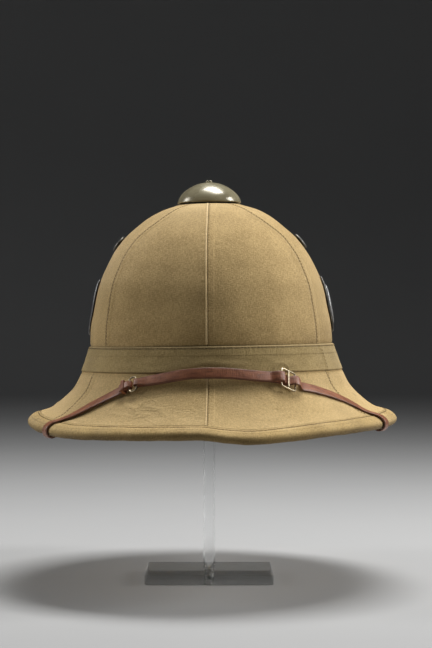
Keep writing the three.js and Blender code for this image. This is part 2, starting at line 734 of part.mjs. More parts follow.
// The oval ring that both folds go round: its wire passes through the start of each strap's route.
function strapRingSolid() {
  const right = longSamples[0];
  const left = shifted(leftSamples[0], foldRadius);
  const middle = right.point.clone().add(left.point).multiplyScalar(0.5);
  const sideways = right.point.clone().sub(left.point);
  const halfWidth = sideways.length() / 2;
  const geometry = new THREE.TorusGeometry(1, RING.wire / halfWidth, RING_STEPS.wire, RING_STEPS.round);
  const position = geometry.getAttribute('position');
  for (let i = 0; i < position.count; i += 1) {
    const angle = Math.atan2(position.getY(i), position.getX(i));
    const swell = (Math.hypot(position.getX(i), position.getY(i)) - 1) * halfWidth;
    position.setX(i, squared(Math.cos(angle)) * halfWidth + Math.cos(angle) * swell);
    position.setY(i, squared(Math.sin(angle)) * RING.halfHeight + Math.sin(angle) * swell);
    position.setZ(i, position.getZ(i) * halfWidth);
  }
  const normal = right.normal.clone().add(left.normal).normalize();
  return onFace(geometry, middle, normal, normal.clone().cross(sideways));
}

function buckleSolid() {
  const { halfWidth, halfHeight, wire, corner } = BUCKLE;
  const shape = roundedRectangle(halfWidth + wire, halfHeight + wire, corner);
  const slot = (halfWidth - 2 * wire) / 2;
  [-1, 1].forEach((side) => {
    const middle = side * (wire + slot);
    const hole = roundedRectangle(slot, halfHeight - wire, corner / 2);
    const points = hole.getPoints(4).map(({ x, y }) => new THREE.Vector2(x + middle, y));
    shape.holes.push(new THREE.Path(points));
  });
  const geometry = new THREE.ExtrudeGeometry(shape, { depth: 2 * wire, bevelEnabled: false, curveSegments: 3 });
  geometry.translate(0, 0, -wire);
  const { point, normal, across } = buckleSample;
  return onFace(geometry, point.clone().addScaledVector(normal, buckleLift), normal, across);
}

// A plain stud that holds a strap's hidden end against the crown's inner wall.
function strapAnchorSolid(samples) {
  const { point, normal, across } = samples[samples.length - ANCHOR.samplesFromEnd];
  const foot = STRAP.thickness / 2 + 2 * GAP;
  const geometry = turnedSolid([
    [0, foot],
    [ANCHOR.radius, foot],
    [ANCHOR.radius * 0.8, foot + ANCHOR.thickness],
    [0, foot + ANCHOR.thickness],
  ], SIDES.anchor);
  return onFace(geometry, point, normal, across);
}

// ---------------------------------------------------------------- stand

function standBaseSolid() {
  const { width, depth, thickness, corner, hole } = STAND.base;
  const shape = roundedRectangle(width / 2, depth / 2, corner);
  const bore = new THREE.Path();
  bore.absarc(0, 0, hole, 0, 2 * Math.PI, true);
  shape.holes.push(bore);
  return new THREE.ExtrudeGeometry(shape, { depth: thickness, bevelEnabled: false, curveSegments: 16 });
}

function standRodSolid() {
  const bottom = STAND.base.thickness + GAP;
  const top = STAND.pad.top - STAND.pad.thickness - GAP;
  const geometry = new THREE.CylinderGeometry(STAND.rod.radius, STAND.rod.radius, top - bottom, SIDES.rod);
  return geometry.rotateX(Math.PI / 2).translate(0, 0, (top + bottom) / 2);
}

function standScrewSolid() {
  const { head, headHeight, shank, bottom } = STAND.screw;
  return turnedSolid([
    [0, bottom],
    [head, bottom],
    [head, bottom + headHeight],
    [shank, bottom + headHeight],
    [shank, STAND.base.thickness],
    [0, STAND.base.thickness],
  ], SIDES.screw);
}

function standPadSolid() {
  const { radius, thickness, top, bevel } = STAND.pad;
  return turnedSolid([
    [0, top - thickness],
    [radius, top - thickness],
    [radius, top - bevel],
    [radius - bevel, top],
    [0, top],
  ], SIDES.pad);
}

// ---------------------------------------------------------------- the assembly

const finishes = {
  canvas: { color: 0xb39a66, roughness: 0.95, metalness: 0 },
  band: { color: 0x9a8a5c, roughness: 0.95, metalness: 0 },
  olive_paint: { color: 0x85816a, roughness: 0.25, metalness: 0.5 },
  dark_metal: { color: 0x4a4a48, roughness: 0.4, metalness: 0.9 },
  silver: { color: 0xc8c8c4, roughness: 0.25, metalness: 1 },
  leather: { color: 0x7c4a33, roughness: 0.55, metalness: 0 },
  wire: { color: 0xc9b89a, roughness: 0.3, metalness: 1 },
  acrylic: { color: 0x9fa4a6, roughness: 0.08, metalness: 0, transparent: true, opacity: 0.35 },
};

function piece(name, finish, geometry) {
  const mesh = new THREE.Mesh(geometry, new THREE.MeshStandardMaterial(finishes[finish]));
  mesh.name = name;
  return mesh;
}

const helmet = new THREE.Group();
helmet.add(
  piece('crown', 'canvas', crownSolid()),
  piece('brim', 'canvas', brimSolid()),
  piece('hatband', 'band', hatbandSolid()),
  piece('edge_binding', 'canvas', edgeBindingSolid()),
  piece('ventilator_cap', 'olive_paint', ventilatorCapSolid()),
  piece('ventilator_collar', 'dark_metal', ventilatorCollarSolid()),
  piece('ventilator_stud', 'olive_paint', ventilatorStudSolid()),
  piece('side_vent_left', 'dark_metal', sideVent(-90)),
  piece('side_vent_right', 'dark_metal', sideVent(90)),
  piece('badge_left', 'dark_metal', badgeSolid(-90)),
  piece('badge_right', 'dark_metal', badgeSolid(90)),
  piece('badge_boss', 'silver', badgeBossSolid(90)),
  piece('strap_long', 'leather', strapLongSolid()),
  piece('strap_left', 'leather', strapLeftSolid()),
  piece('strap_keeper', 'leather', strapKeeperSolid()),
  piece('strap_ring', 'wire', strapRingSolid()),
  piece('buckle', 'wire', buckleSolid()),
  piece('strap_anchor_left', 'dark_metal', strapAnchorSolid(leftSamples)),
  piece('strap_anchor_right', 'dark_metal', strapAnchorSolid(longSamples)),
);
helmet.position.z = -HELMET.pivotHeight;

const leaning = new THREE.Group();
leaning.add(helmet);
leaning.rotation.y = -HELMET.lean * DEG;
leaning.position.set(0, HELMET.y, HELMET.pivotHeight);

const stand = new THREE.Group();
stand.add(
  piece('stand_base', 'acrylic', standBaseSolid()),
  piece('stand_rod', 'acrylic', standRodSolid()),
  piece('stand_screw', 'dark_metal', standScrewSolid()),
  piece('stand_pad', 'acrylic', standPadSolid()),
);
stand.position.set(STAND.x, HELMET.y, 0);

const root = new THREE.Group();
root.add(leaning, stand);

export default root;
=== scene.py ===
"""Looks of a canvas-covered pith helmet on its clear stand.

Lengths are millimetres until a mesh is made, which turns them into metres. A place on the helmet
is its turn, in degrees from the front towards +X, with a height on the crown or a reach across
the brim: 0 at the crown's foot and 1 at the edge.
"""

import math

import bpy
from mathutils import Matrix, Vector, noise


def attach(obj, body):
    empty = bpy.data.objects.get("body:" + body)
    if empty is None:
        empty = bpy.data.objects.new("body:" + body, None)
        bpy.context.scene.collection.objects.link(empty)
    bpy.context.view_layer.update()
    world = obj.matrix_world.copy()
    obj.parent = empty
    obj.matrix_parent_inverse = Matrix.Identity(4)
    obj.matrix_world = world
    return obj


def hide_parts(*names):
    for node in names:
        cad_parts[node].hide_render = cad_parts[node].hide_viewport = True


MM = 0.001
DEG = math.pi / 180
GAP = 0.3

# ------------------------------------------------------------------ the helmet's own sizes

LEAN = 0.85  # degrees towards -X, about PIVOT
PIVOT = Vector((0, -3.7, 125))
HELMET_PLACE = (
    Matrix.Translation(PIVOT)
    @ Matrix.Rotation(-LEAN * DEG, 4, "Y")
    @ Matrix.Translation((0, 0, -PIVOT.z))
)

SHELL_WALL = 6
CLOTH = 1.2
BINDING = 1

# Outer face of the crown: height, half width, half length to the front, half length to the rear
CROWN_LEVELS = [
    (290.6, 24.4, 24.4, 24.4),
    (286.1, 38.2, 40.8, 42.2),
    (281.2, 47.2, 51.5, 53.5),
    (275.2, 55.0, 61.0, 63.5),
    (264.3, 67.2, 75.0, 78.5),
    (252.1, 76.1, 86.0, 89.5),
    (238.6, 83.0, 95.0, 98.5),
    (225.3, 88.0, 101.5, 105.0),
    (209.7, 91.0, 106.0, 110.0),
    (194.1, 93.5, 109.4, 113.4),
    (183.0, 93.9, 110.6, 114.6),
    (181.8, 93.0, 109.8, 113.8),
    (164.7, 98.4, 115.4, 119.4),
]
CROWN_HOLE = (291, 13, 13, 13)
INNER_LEVELS = 10  # the inner wall follows this many of the outer levels

BAND_TOP = (182.0, 94.8, 111.6, 115.6)
BAND_FOOT = (162.6, 101.4, 118.4, 122.4)
BAND_WAVE = 0.8  # its lower edge rides up by this at the front left
BAND_HIGHEST = -50
BAND_JOINT = 57.6

BRIM_FOOT = (164.4, 98.4, 115.4, 119.4)
BRIM_RUN = {"side": 43.2, "front": 47.2, "rear": 50.6}
# Top face of the brim: reach, share of the drop left at the sides, share left at front and rear
BRIM_PROFILE = [
    (0, 1, 1),
    (0.175, 0.709, 0.715),
    (0.386, 0.495, 0.5),
    (0.665, 0.3, 0.285),
    (0.85, 0.245, 0.19),
    (0.95, 0.205, 0.168),
    (1, 0.16, 0.152),
]
# The brim's lowest line: turn, height
RIM_WAVE = [
    (-180, 116),
    (-120, 118),
    (-90, 121.6),
    (-60, 117.6),
    (-45, 116),
    (-27, 116.8),
    (-4, 117.8),
    (4, 115),
    (11, 113.2),
    (24, 115.2),
    (37, 117),
    (60, 118),
    (90, 118.6),
    (120, 118),
    (180, 116),
]
RIM_RADIUS = 3.6
BINDING_REACH = 0.8

# Seams between the cloth panels, as turns
CROWN_SEAMS = [-118, -57, -1.5, 57, 118, 180]
BRIM_SEAMS = [-118, -61, -1.5, 57, 118, 180]
SEAM_ENDS = {"lowest": 183.2, "highest": 289.6, "welt_highest": 290.2}
# The side seams draw nearer to front and rear towards the top: height, share of the turn
SEAM_CLOSING = [(250, 1), (262, 0.96), (271, 0.88), (282, 0.74), (290.6, 0.65)]
WELT_TURN = -1.5  # the front seam is a raised welt
WELT = {"half_width": 0.8, "rise": 0.5, "beside": -0.7}
STITCH = {"pitch": 2.6, "length": 1.9, "radius": 0.2, "beside_seam": 1.3, "lift": 0.05}

CAP = {"radius": 24.8, "rise": 16, "rim": 292.4, "wall": 1, "lip": 0.4, "bulge": 0.05}
TUBE = {"outer": 12.6, "inner": 11.4, "bottom": 283.9, "top": 303.4}
FLANGE = {"radius": 19, "bottom": 291.4, "top": 292.2}
STUD = {"radius": 2.6, "rise": 1.9, "slot": 1.1}
SIDE_VENT = {"height": 261, "radius": 6.9, "hole": 3.4, "lift": 0.5, "thickness": 1.9, "floor": 0.6}

BADGE = {"top": 233.2, "bottom": 190.6, "lift": 0.7, "thickness": 1.2}
# A shield from its top down: share of its height, half width
BADGE_OUTLINE = [(0, 14.5), (0.08, 16.6), (0.3, 16.2), (0.55, 15.4), (0.75, 12), (0.9, 6.6), (1, 1)]
BOSS = {"height": 212, "half_height": 15, "half_width": 9.5, "thickness": 1.6}

# Distances are along a strap from the ring: where its taper ends, where its two layers have closed
# up, and where the short strap's folded layer ends.
STRAP = {
    "width": 7.6,
    "thickness": 1.2,
    "taper": 2.4,
    "taper_end": 12,
    "closed": 10,
    "folded_end": 8.5,
}
# A strap's route: turn, reach, lift of its middle. Reach 1 to 2 goes round the brim's edge, 2 to 3
# returns below it and 3 to 4 climbs the crown's inner wall.
STRAP_LONG_ROUTE = [
    (-29.8, 0.118, 3.6),
    (-24, 0.093, 3.1),
    (-18.5, 0.071, 3),
    (-10, 0.042, 3.6),
    (-2, 0.033, 4),
    (7.5, 0.038, 4),
    (19.2, 0.064, 3.4),
    (26, 0.079, 2.7),
    (30.6, 0.108, 2.3),
    (36.4, 0.163, 1.3),
    (44, 0.22, 1.1),
    (52.6, 0.34, 1.1),
    (59.2, 0.53, 1.1),
    (60.4, 0.78, 1.15),
    (60.6, 0.96, 1.5),
    (60.8, 1.25, 1.5),
    (61, 1.5, 1.3),
    (61.4, 1.75, 1.3),
    (62.4, 2.04, 1.8),
    (66, 2.26, 2.3),
    (72, 2.56, 1.4),
    (78, 2.82, 1.1),
    (82, 3, 1.2),
    (84, 3.2, 1.2),
]
STRAP_LEFT_ROUTE = [
    (-32.7, 0.15, 2.3),
    (-35.3, 0.172, 2.5),
    (-38.2, 0.224, 2.5),
    (-43.2, 0.325, 2.3),
    (-48.5, 0.468, 2.1),
    (-53, 0.653, 1.5),
    (-55, 0.84, 1.15),
    (-55.6, 0.96, 1.5),
    (-55.8, 1.25, 1.4),
    (-56, 1.5, 1.3),
    (-56.4, 1.75, 1.4),
    (-57.4, 2.04, 1.9),
    (-61.5, 2.26, 2.5),
    (-69.5, 2.56, 1.4),
    (-77, 2.82, 1.1),
    (-82, 3, 1.2),
    (-84, 3.2, 1.2),
]
PER_TURN = 1.8  # route millimetres for a degree of turn
PER_REACH = 45  # route millimetres for a unit of reach
ROUTE_STEPS = 10  # samples between two points of a route
INNER_CLIMB = 30  # height of the inner wall for a unit of reach
# How a strap faces where it stands against the band, in the upright plane at its turn
UPRIGHT = Vector((math.cos(18 * DEG), math.sin(18 * DEG)))

LAYERS = (STRAP["thickness"] + GAP) / 2  # from a doubled strap's middle to a layer's
RING = {"half_height": 6.1, "wire": 0.6, "squareness": 3, "clearance": 0.7}
BUCKLE = {
    "turn": 30.6,
    "half_width": 6,
    "half_height": 7.4,
    "wire": 0.65,
    "corner": 1.6,
    "clearance": 0.95,
    "bent": 0.22,
}
# Distances from the buckle's middle: the climb over an outer bar, the way down, and the settling
# on the brim past the strap's folded end
THREADING = {"climb": (1.8, 5), "descent": (7.6, 14), "settling": (6, 16)}
KEEPER = {"distance": 4.3, "width": 2.4, "thickness": 0.8}
ANCHOR = {"radius": 4.2, "thickness": 1.2, "samples_from_end": 7}
FOLD_RADIUS = RING["wire"] + RING["clearance"] + STRAP["thickness"] / 2

STAND_PLACE = Matrix.Translation((-2.5, -3.7, 0))
BASE = {"width": 98, "depth": 76, "thickness": 7.4, "corner": 1.5, "hole": 3.9, "bevel": 0.5}
ROD = {"radius": 4.8, "bevel": 0.5}
PAD = {"radius": 22, "thickness": 4, "top": 283, "bevel": 0.8}
SCREW = {"head": 3.5, "head_height": 3, "shank": 2, "bottom": 0.5}

COLUMNS = 480  # sides of the crown and the brim
FINE_COLUMNS = 600  # sides of the hatband and the edge binding
AXIS = 0.001  # radius at which a turned profile starts and ends
FAR = 9  # a distance from any sewn line that shows nothing of it


# ------------------------------------------------------------------ curves and faces


def curve_through(rows, column):
    """A monotone cubic through a table's rows: the column as a function of the first one."""
    rows = sorted(rows)
    xs = [row[0] for row in rows]
    ys = [row[column] for row in rows]
    steps = [b - a for a, b in zip(xs, xs[1:])]
    slopes = [(b - a) / step for a, b, step in zip(ys, ys[1:], steps)]
    tangents = [slopes[0]]
    for i in range(1, len(xs) - 1):
        if slopes[i - 1] * slopes[i] <= 0:
            tangents.append(0)
            continue
        before = 2 * steps[i] + steps[i - 1]
        after = steps[i] + 2 * steps[i - 1]
        tangents.append((before + after) / (before / slopes[i - 1] + after / slopes[i]))
    tangents.append(slopes[-1])

    def value(x):
        held = min(max(x, xs[0]), xs[-1])
        i = 0
        while i < len(xs) - 2 and held >= xs[i + 1]:
            i += 1
        t = (held - xs[i]) / steps[i]
        bend = t * t * (3 - 2 * t)
        lean = tangents[i] * (1 - t) - tangents[i + 1] * t
        return ys[i] * (1 - bend) + ys[i + 1] * bend + steps[i] * t * (1 - t) * lean

    return value


def spread(start, end, count):
    """Numbers evenly from start to end, both included."""
    return [start + (end - start) * i / (count - 1) for i in range(count)]


def circle(count):
    """Angles evenly round a circle."""
    return [2 * math.pi * i / count for i in range(count)]


def smooth_step(start, end, x):
    t = min(max((x - start) / (end - start), 0), 1)
    return t * t * (3 - 2 * t)


def bell(distance, width):
    return math.exp(-((distance / width) ** 2))


def wrapped(turn):
    """The same turn between -180 and 180."""
    return (turn + 180) % 360 - 180


def oval_at(level, turn):
    """The point of a level's oval at a turn, and the oval's outward direction there."""
    height, side, front, rear = level
    sine = math.sin(turn * DEG)
    cosine = math.cos(turn * DEG)
    length = front if cosine > 0 else rear
    out = Vector((length * sine, -side * cosine, 0)).normalized()
    return Vector((side * sine, -length * cosine, height)), out


crown_side = curve_through(CROWN_LEVELS, 1)
crown_front = curve_through(CROWN_LEVELS, 2)
crown_rear = curve_through(CROWN_LEVELS, 3)
rim_height = curve_through(RIM_WAVE, 1)
seam_closing = curve_through(SEAM_CLOSING, 1)
side_rise = curve_through(BRIM_PROFILE, 1)
ends_rise = curve_through(BRIM_PROFILE, 2)


def crown_seam_turn(seam, height):
    """Where a crown seam has got to at a height."""
    middle = 180 * round(seam / 180)
    return middle + (seam - middle) * seam_closing(height)


def straight_seam_turn(seam, _height):
    return seam


def crown_level(height):
    return height, crown_side(height), crown_front(height), crown_rear(height)


def crown_face(turn, height):
    """A point of the crown's outer face and the face's normal."""
    level = crown_level(height)
    point, _ = oval_at(level, turn)
    across = oval_at(level, turn + 0.5)[0] - point
    up = oval_at(crown_level(height + 0.5), turn)[0] - point
    return point, across.cross(up).normalized()


def brim_top(turn, reach):
    """The brim's top face in the upright plane at a turn: x outwards from the foot, y the height."""
    facing = math.cos(turn * DEG) ** 2
    end = BRIM_RUN["front"] if math.cos(turn * DEG) > 0 else BRIM_RUN["rear"]
    run = BRIM_RUN["side"] + (end - BRIM_RUN["side"]) * facing
    rise = (1 - facing) * side_rise(reach) + facing * ends_rise(reach)
    rim = rim_height(wrapped(turn))
    return Vector((reach * run, rim + (BRIM_FOOT[0] - rim) * rise))


def brim_normal(turn, reach):
    """The brim's normal in the upright plane at a turn."""
    before = brim_top(turn, max(reach - 0.01, 0))
    after = brim_top(turn, min(reach + 0.01, 1))
    along = (after - before).normalized()
    return Vector((-along.y, along.x))


def brim_below(turn, reach, depth):
    """The point below the brim's top face by a depth."""
    return brim_top(turn, reach) - depth * brim_normal(turn, reach)


def brim_edge(turn, angle, radius):
    """A point of the edge's half round: the angle goes from 0 on top to 180 below."""
    up = brim_normal(turn, 1)
    out = Vector((up.y, -up.x))
    middle = brim_below(turn, 1, RIM_RADIUS)
    return middle + radius * (math.cos(angle * DEG) * up + math.sin(angle * DEG) * out)


def stood_at(turn, flat):
    """A point of the upright plane at a turn, in the helmet's own space."""
    point, out = oval_at(BRIM_FOOT, turn)
    return Vector((point.x + out.x * flat.x, point.y + out.y * flat.x, flat.y))


def facing_at(turn, flat):
    """A direction in the upright plane at a turn, in the helmet's own space."""
    _, out = oval_at(BRIM_FOOT, turn)
    return Vector((out.x * flat.x, out.y * flat.x, flat.y))


def strap_face(turn, reach):
    """The face that the straps lie on and its normal, as a reach from 0 to 4."""
    if reach <= 1:
        flat = brim_top(turn, reach)
        facing = UPRIGHT.lerp(brim_normal(turn, reach), smooth_step(0, 0.15, reach)).normalized()
    elif reach <= 2:
        flat = brim_edge(turn, (reach - 1) * 180, RIM_RADIUS)
        facing = (flat - brim_edge(turn, 0, 0)).normalized()
    elif reach <= 3:
        inward = 3 - reach
        over_binding = smooth_step(BINDING_REACH - 0.14, BINDING_REACH, inward)
        flat = brim_below(turn, inward, SHELL_WALL + (2 * RIM_RADIUS - SHELL_WALL) * over_binding)
        facing = -brim_normal(turn, inward)
    else:
        height = BRIM_FOOT[0] + (reach - 3) * INNER_CLIMB
        start = brim_below(turn, 0, SHELL_WALL)
        wall = crown_side(height) - crown_side(BRIM_FOOT[0])
        flat = Vector((start.x + wall, height - BRIM_FOOT[0] + start.y))
        facing = -brim_normal(turn, 0)
    return stood_at(turn, flat), facing_at(turn, facing)


# ------------------------------------------------------------------ meshes


def mesh_piece(name, points, faces, place=HELMET_PLACE, uvs=None, marks=None, flat=False):
    """A mesh object. uvs gives, for each layer's name, a pair for each corner of each face.
    marks gives a colour for each point: red lightens for wear and painted highlight, green darkens for
    soiling and painted shade, and blue is creased."""
    mesh = bpy.data.meshes.new(name)
    mesh.from_pydata([(place @ Vector(point)) * MM for point in points], [], faces)
    for layer, pairs in (uvs or {}).items():
        data = mesh.uv_layers.new(name=layer).data
        data.foreach_set("uv", [number for pair in pairs for number in pair])
    if marks:
        colours = mesh.color_attributes.new("marks", "FLOAT_COLOR", "POINT").data
        colours.foreach_set("color", [number for mark in marks for number in (*mark, 1)])
    mesh.polygons.foreach_set("use_smooth", [not flat] * len(mesh.polygons))
    piece = bpy.data.objects.new(name, mesh)
    bpy.context.scene.collection.objects.link(piece)
    return piece


def panel_of(turn, height, seams, seam_turn):
    """The seams on both sides of a turn, each as the seam and the whole turns to add to it."""
    here = [(seam_turn(seam, height), seam, 0) for seam in seams]
    lower = max((side for side in here if side[0] <= turn), default=(0, seams[-1], -360))
    upper = min((side for side in here if side[0] > turn), default=(0, seams[0], 360))
    return lower[1:], upper[1:]


def ring_piece(
    name,
    section_at,
    seams=(-180, 180),
    seam_turn=straight_seam_turn,
    lines=None,
    marks_at=None,
    columns=COLUMNS,
):
    """A closed ring through sections. The cloth's grain follows the middle of each panel between
    seams, and the layer 'seam' tells how far the nearest seam is. lines gives that distance for
    each point of a section instead, where the stitched line goes round the ring."""
    turns = [360 * i / columns - 180 for i in range(columns)]
    sections = [section_at(turn) for turn in turns]
    size = len(sections[0])
    front = sections[columns // 2]
    along = [0]
    for j in range(size):
        along.append(along[-1] + (front[(j + 1) % size] - front[j]).length)
    faces, cloth, seam = [], [], []
    step = 360 / columns
    for i, turn in enumerate(turns):
        k = (i + 1) % columns
        for j in range(size):
            m = (j + 1) % size
            height = sections[i][j].z
            lower, upper = panel_of(turn + step / 2, height, seams, seam_turn)
            sides = [seam_turn(side[0], height) + side[1] for side in (lower, upper)]
            nearest = lower if 2 * turn + step < sum(sides) else upper
            corners = [(i, j, 0, 0), (i, m, 0, 1), (k, m, step, 1), (k, j, step, 0)]
            faces.append([column * size + row for column, row, _, _ in corners])
            for column, row, ahead, below in corners:
                point = sections[column][row]
                arc = DEG * math.hypot(point.x, point.y)
                here = turn + ahead
                middle = sum(seam_turn(side[0], point.z) + side[1] for side in (lower, upper)) / 2
                cloth.append(((here - middle) * arc, along[j + below]))
                if lines:
                    seam.append((lines[row], here * arc))
                else:
                    beside = here - nearest[1] - seam_turn(nearest[0], point.z)
                    seam.append((beside * arc, along[j + below]))
    points = [point for section in sections for point in section]
    marks = [marks_at(point) for point in points] if marks_at else None
    return mesh_piece(name, points, faces, uvs={"cloth": cloth, "seam": seam}, marks=marks)


def sweep(sections, closed=False):
    """Points and faces of a tube through sections with the same number of points each."""
    size = len(sections[0])
    points = [point for section in sections for point in section]
    faces = []
    last = len(sections) if closed else len(sections) - 1
    for i in range(last):
        k = (i + 1) % len(sections)
        for j in range(size):
            m = (j + 1) % size
            faces.append([i * size + j, k * size + j, k * size + m, i * size + m])
    if not closed:
        faces.append(list(range(size)))
        faces.append([(len(sections) - 1) * size + j for j in reversed(range(size))])
    return points, faces


def joined(parts):
    """One list of points and one of faces from several."""
    points, faces = [], []
    for more_points, more_faces in parts:
        start = len(points)
        points += more_points
        faces += [[start + corner for corner in face] for face in more_faces]
    return points, faces


def turned(profile, sides, frame=Matrix.Identity(4)):
    """A solid of revolution about Z from (radius, height) pairs that run anticlockwise."""
    sections = []
    for a in circle(sides):
        sections.append([frame @ Vector((r * math.cos(a), r * math.sin(a), h)) for r, h in profile])
    return sweep(sections, closed=True)


WIRE_SIDES = 12


def wire(frame, pairs, radius, closed=False):
    """A round wire along (x, y) pairs in a frame's own plane."""
    path = [frame @ Vector((x, y, 0)) for x, y in pairs]
    facing = (frame.to_3x3() @ Vector((0, 0, 1))).normalized()
    sections = []
    for i, point in enumerate(path):
        before = path[i - 1] if closed or i > 0 else point
        after = path[(i + 1) % len(path)] if closed or i < len(path) - 1 else point
        along = (after - before).normalized()
        side = along.cross(facing).normalized()
        up = side.cross(along)
        ring = [math.cos(a) * side + math.sin(a) * up for a in circle(WIRE_SIDES)]
        sections.append([point + radius * out for out in ring])
    return sweep(sections, closed)


def frame_on(point, normal, upward):
    """A frame with its Z along the normal and its Y as near as can be to the given direction."""
    x = upward.cross(normal).normalized()
    y = normal.cross(x)
    frame = Matrix((x, y, normal)).transposed().to_4x4()
    frame.translation = point
    return frame


def spaced(path, pitch):
    """Places along a path of (point, normal) pairs, a pitch apart: point, normal and direction."""
    places = []
    travelled = 0
    following = pitch / 2
    for (a, normal_a), (b, normal_b) in zip(path, path[1:]):
        length = (b - a).length
        while length > 0 and following <= travelled + length:
            share = (following - travelled) / length
            normal = normal_a.lerp(normal_b, share).normalized()
            places.append((a.lerp(b, share), normal, (b - a).normalized()))
            following += pitch
        travelled += length
    return places


STITCH_SHAPE = [(-1, 0.3, -0.6), (-0.62, 0.95, 0.35), (0, 1, 0.6), (0.62, 0.95, 0.35), (1, 0.3, -0.6)]
STITCH_SIDES = 5


def stitches(path):
    """Thread stitches along a path, each a bead that dives into the cloth at both ends."""
    parts = []
    for point, normal, along in spaced(path, STITCH["pitch"]):
        side = along.cross(normal).normalized()
        sections = []
        for share, thickness, rise in STITCH_SHAPE:
            middle = point + along * (share * STITCH["length"] / 2)
            middle += normal * (rise * STITCH["radius"])
            radius = STITCH["radius"] * thickness
            ring = [math.cos(a) * side + math.sin(a) * normal for a in circle(STITCH_SIDES)]
            sections.append([middle + radius * out for out in ring])
        parts.append(sweep(sections))
    return joined(parts)


# ------------------------------------------------------------------ materials


class Recipe:
    """A material under construction, with short ways to add and join its nodes."""

    def __init__(self, name):
        self.material = bpy.data.materials.new(name)
        self.material.use_nodes = True
        self.tree = self.material.node_tree
        self.shader = self.tree.nodes["Principled BSDF"]

    def set(self, **inputs):
        for name, value in inputs.items():
            self.put(self.shader.inputs[name.replace("_", " ")], value)

    def put(self, socket, value):
        if isinstance(value, bpy.types.NodeSocket):
            self.tree.links.new(value, socket)
        else:
            socket.default_value = value

    def node(self, kind, inputs, **settings):
        made = self.tree.nodes.new(kind)
        for name, value in settings.items():
            setattr(made, name, value)
        for name, value in inputs.items():
            self.put(made.inputs[name], value)
        return made

    def uv(self, layer):
        return self.node("ShaderNodeUVMap", {}, uv_map=layer).outputs["UV"]

    def place(self):
        return self.node("ShaderNodeTexCoord", {}).outputs["Object"]

    def split(self, vector):
        return self.node("ShaderNodeSeparateXYZ", {"Vector": vector}).outputs

    def marks(self):
        vector = self.node("ShaderNodeAttribute", {}, attribute_name="marks").outputs["Color"]
        return self.node("ShaderNodeSeparateColor", {"Color": vector}).outputs

    def math(self, operation, *values):
        made = self.node("ShaderNodeMath", {}, operation=operation)
        for socket, value in zip(made.inputs, values):
            self.put(socket, value)
        return made.outputs["Value"]

    def times(self, first, second):
        return self.math("MULTIPLY", first, second)

    def times_plus(self, first, second, added):
        return self.math("MULTIPLY_ADD", first, second, added)

    def waves(self, value, pitch):
        return self.math("SINE", self.times(value, 2 * math.pi / pitch))

    def stretched(self, vector, scale):
        inputs = {"Vector": vector, "Scale": scale}
        return self.node("ShaderNodeMapping", inputs).outputs["Vector"]

    def noise(self, vector, scale, detail=2, roughness=0.5, distortion=0):
        inputs = {
            "Vector": vector,
            "Scale": scale,
            "Detail": detail,
            "Roughness": roughness,
            "Distortion": distortion,
        }
        return self.node("ShaderNodeTexNoise", inputs).outputs["Fac"]

    def step(self, value, start, end, low=0, high=1):
        """Goes smoothly from low to high as the value goes from start to end."""
        inputs = {
            "Value": value,
            "From Min": start,
            "From Max": end,
            "To Min": low,
            "To Max": high,
        }
        made = self.node("ShaderNodeMapRange", inputs, interpolation_type="SMOOTHSTEP")
        return made.outputs["Result"]

    def mix(self, share, first, second, blend="MIX"):
        made = self.node("ShaderNodeMix", {}, data_type="RGBA", blend_type=blend)
        self.put(made.inputs["Factor"], share)
        colours = [socket for socket in made.inputs if socket.type == "RGBA"]
        for socket, value in zip(colours, (first, second)):
            self.put(socket, value)
        return next(socket for socket in made.outputs if socket.type == "RGBA")

    def bump(self, height, distance, strength=1, after=None):
        inputs = {"Height": height, "Distance": distance * MM, "Strength": strength}
        if after:
            inputs["Normal"] = after
        return self.node("ShaderNodeBump", inputs).outputs["Normal"]


def shade(red, green, blue):
    """A colour from its usual 0 to 255 numbers."""

    def linear(number):
        share = number / 255
        return share / 12.92 if share <= 0.04045 else ((share + 0.055) / 1.055) ** 2.4

    return linear(red), linear(green), linear(blue), 1


YARN = 0.62  # pitch of the canvas's yarns


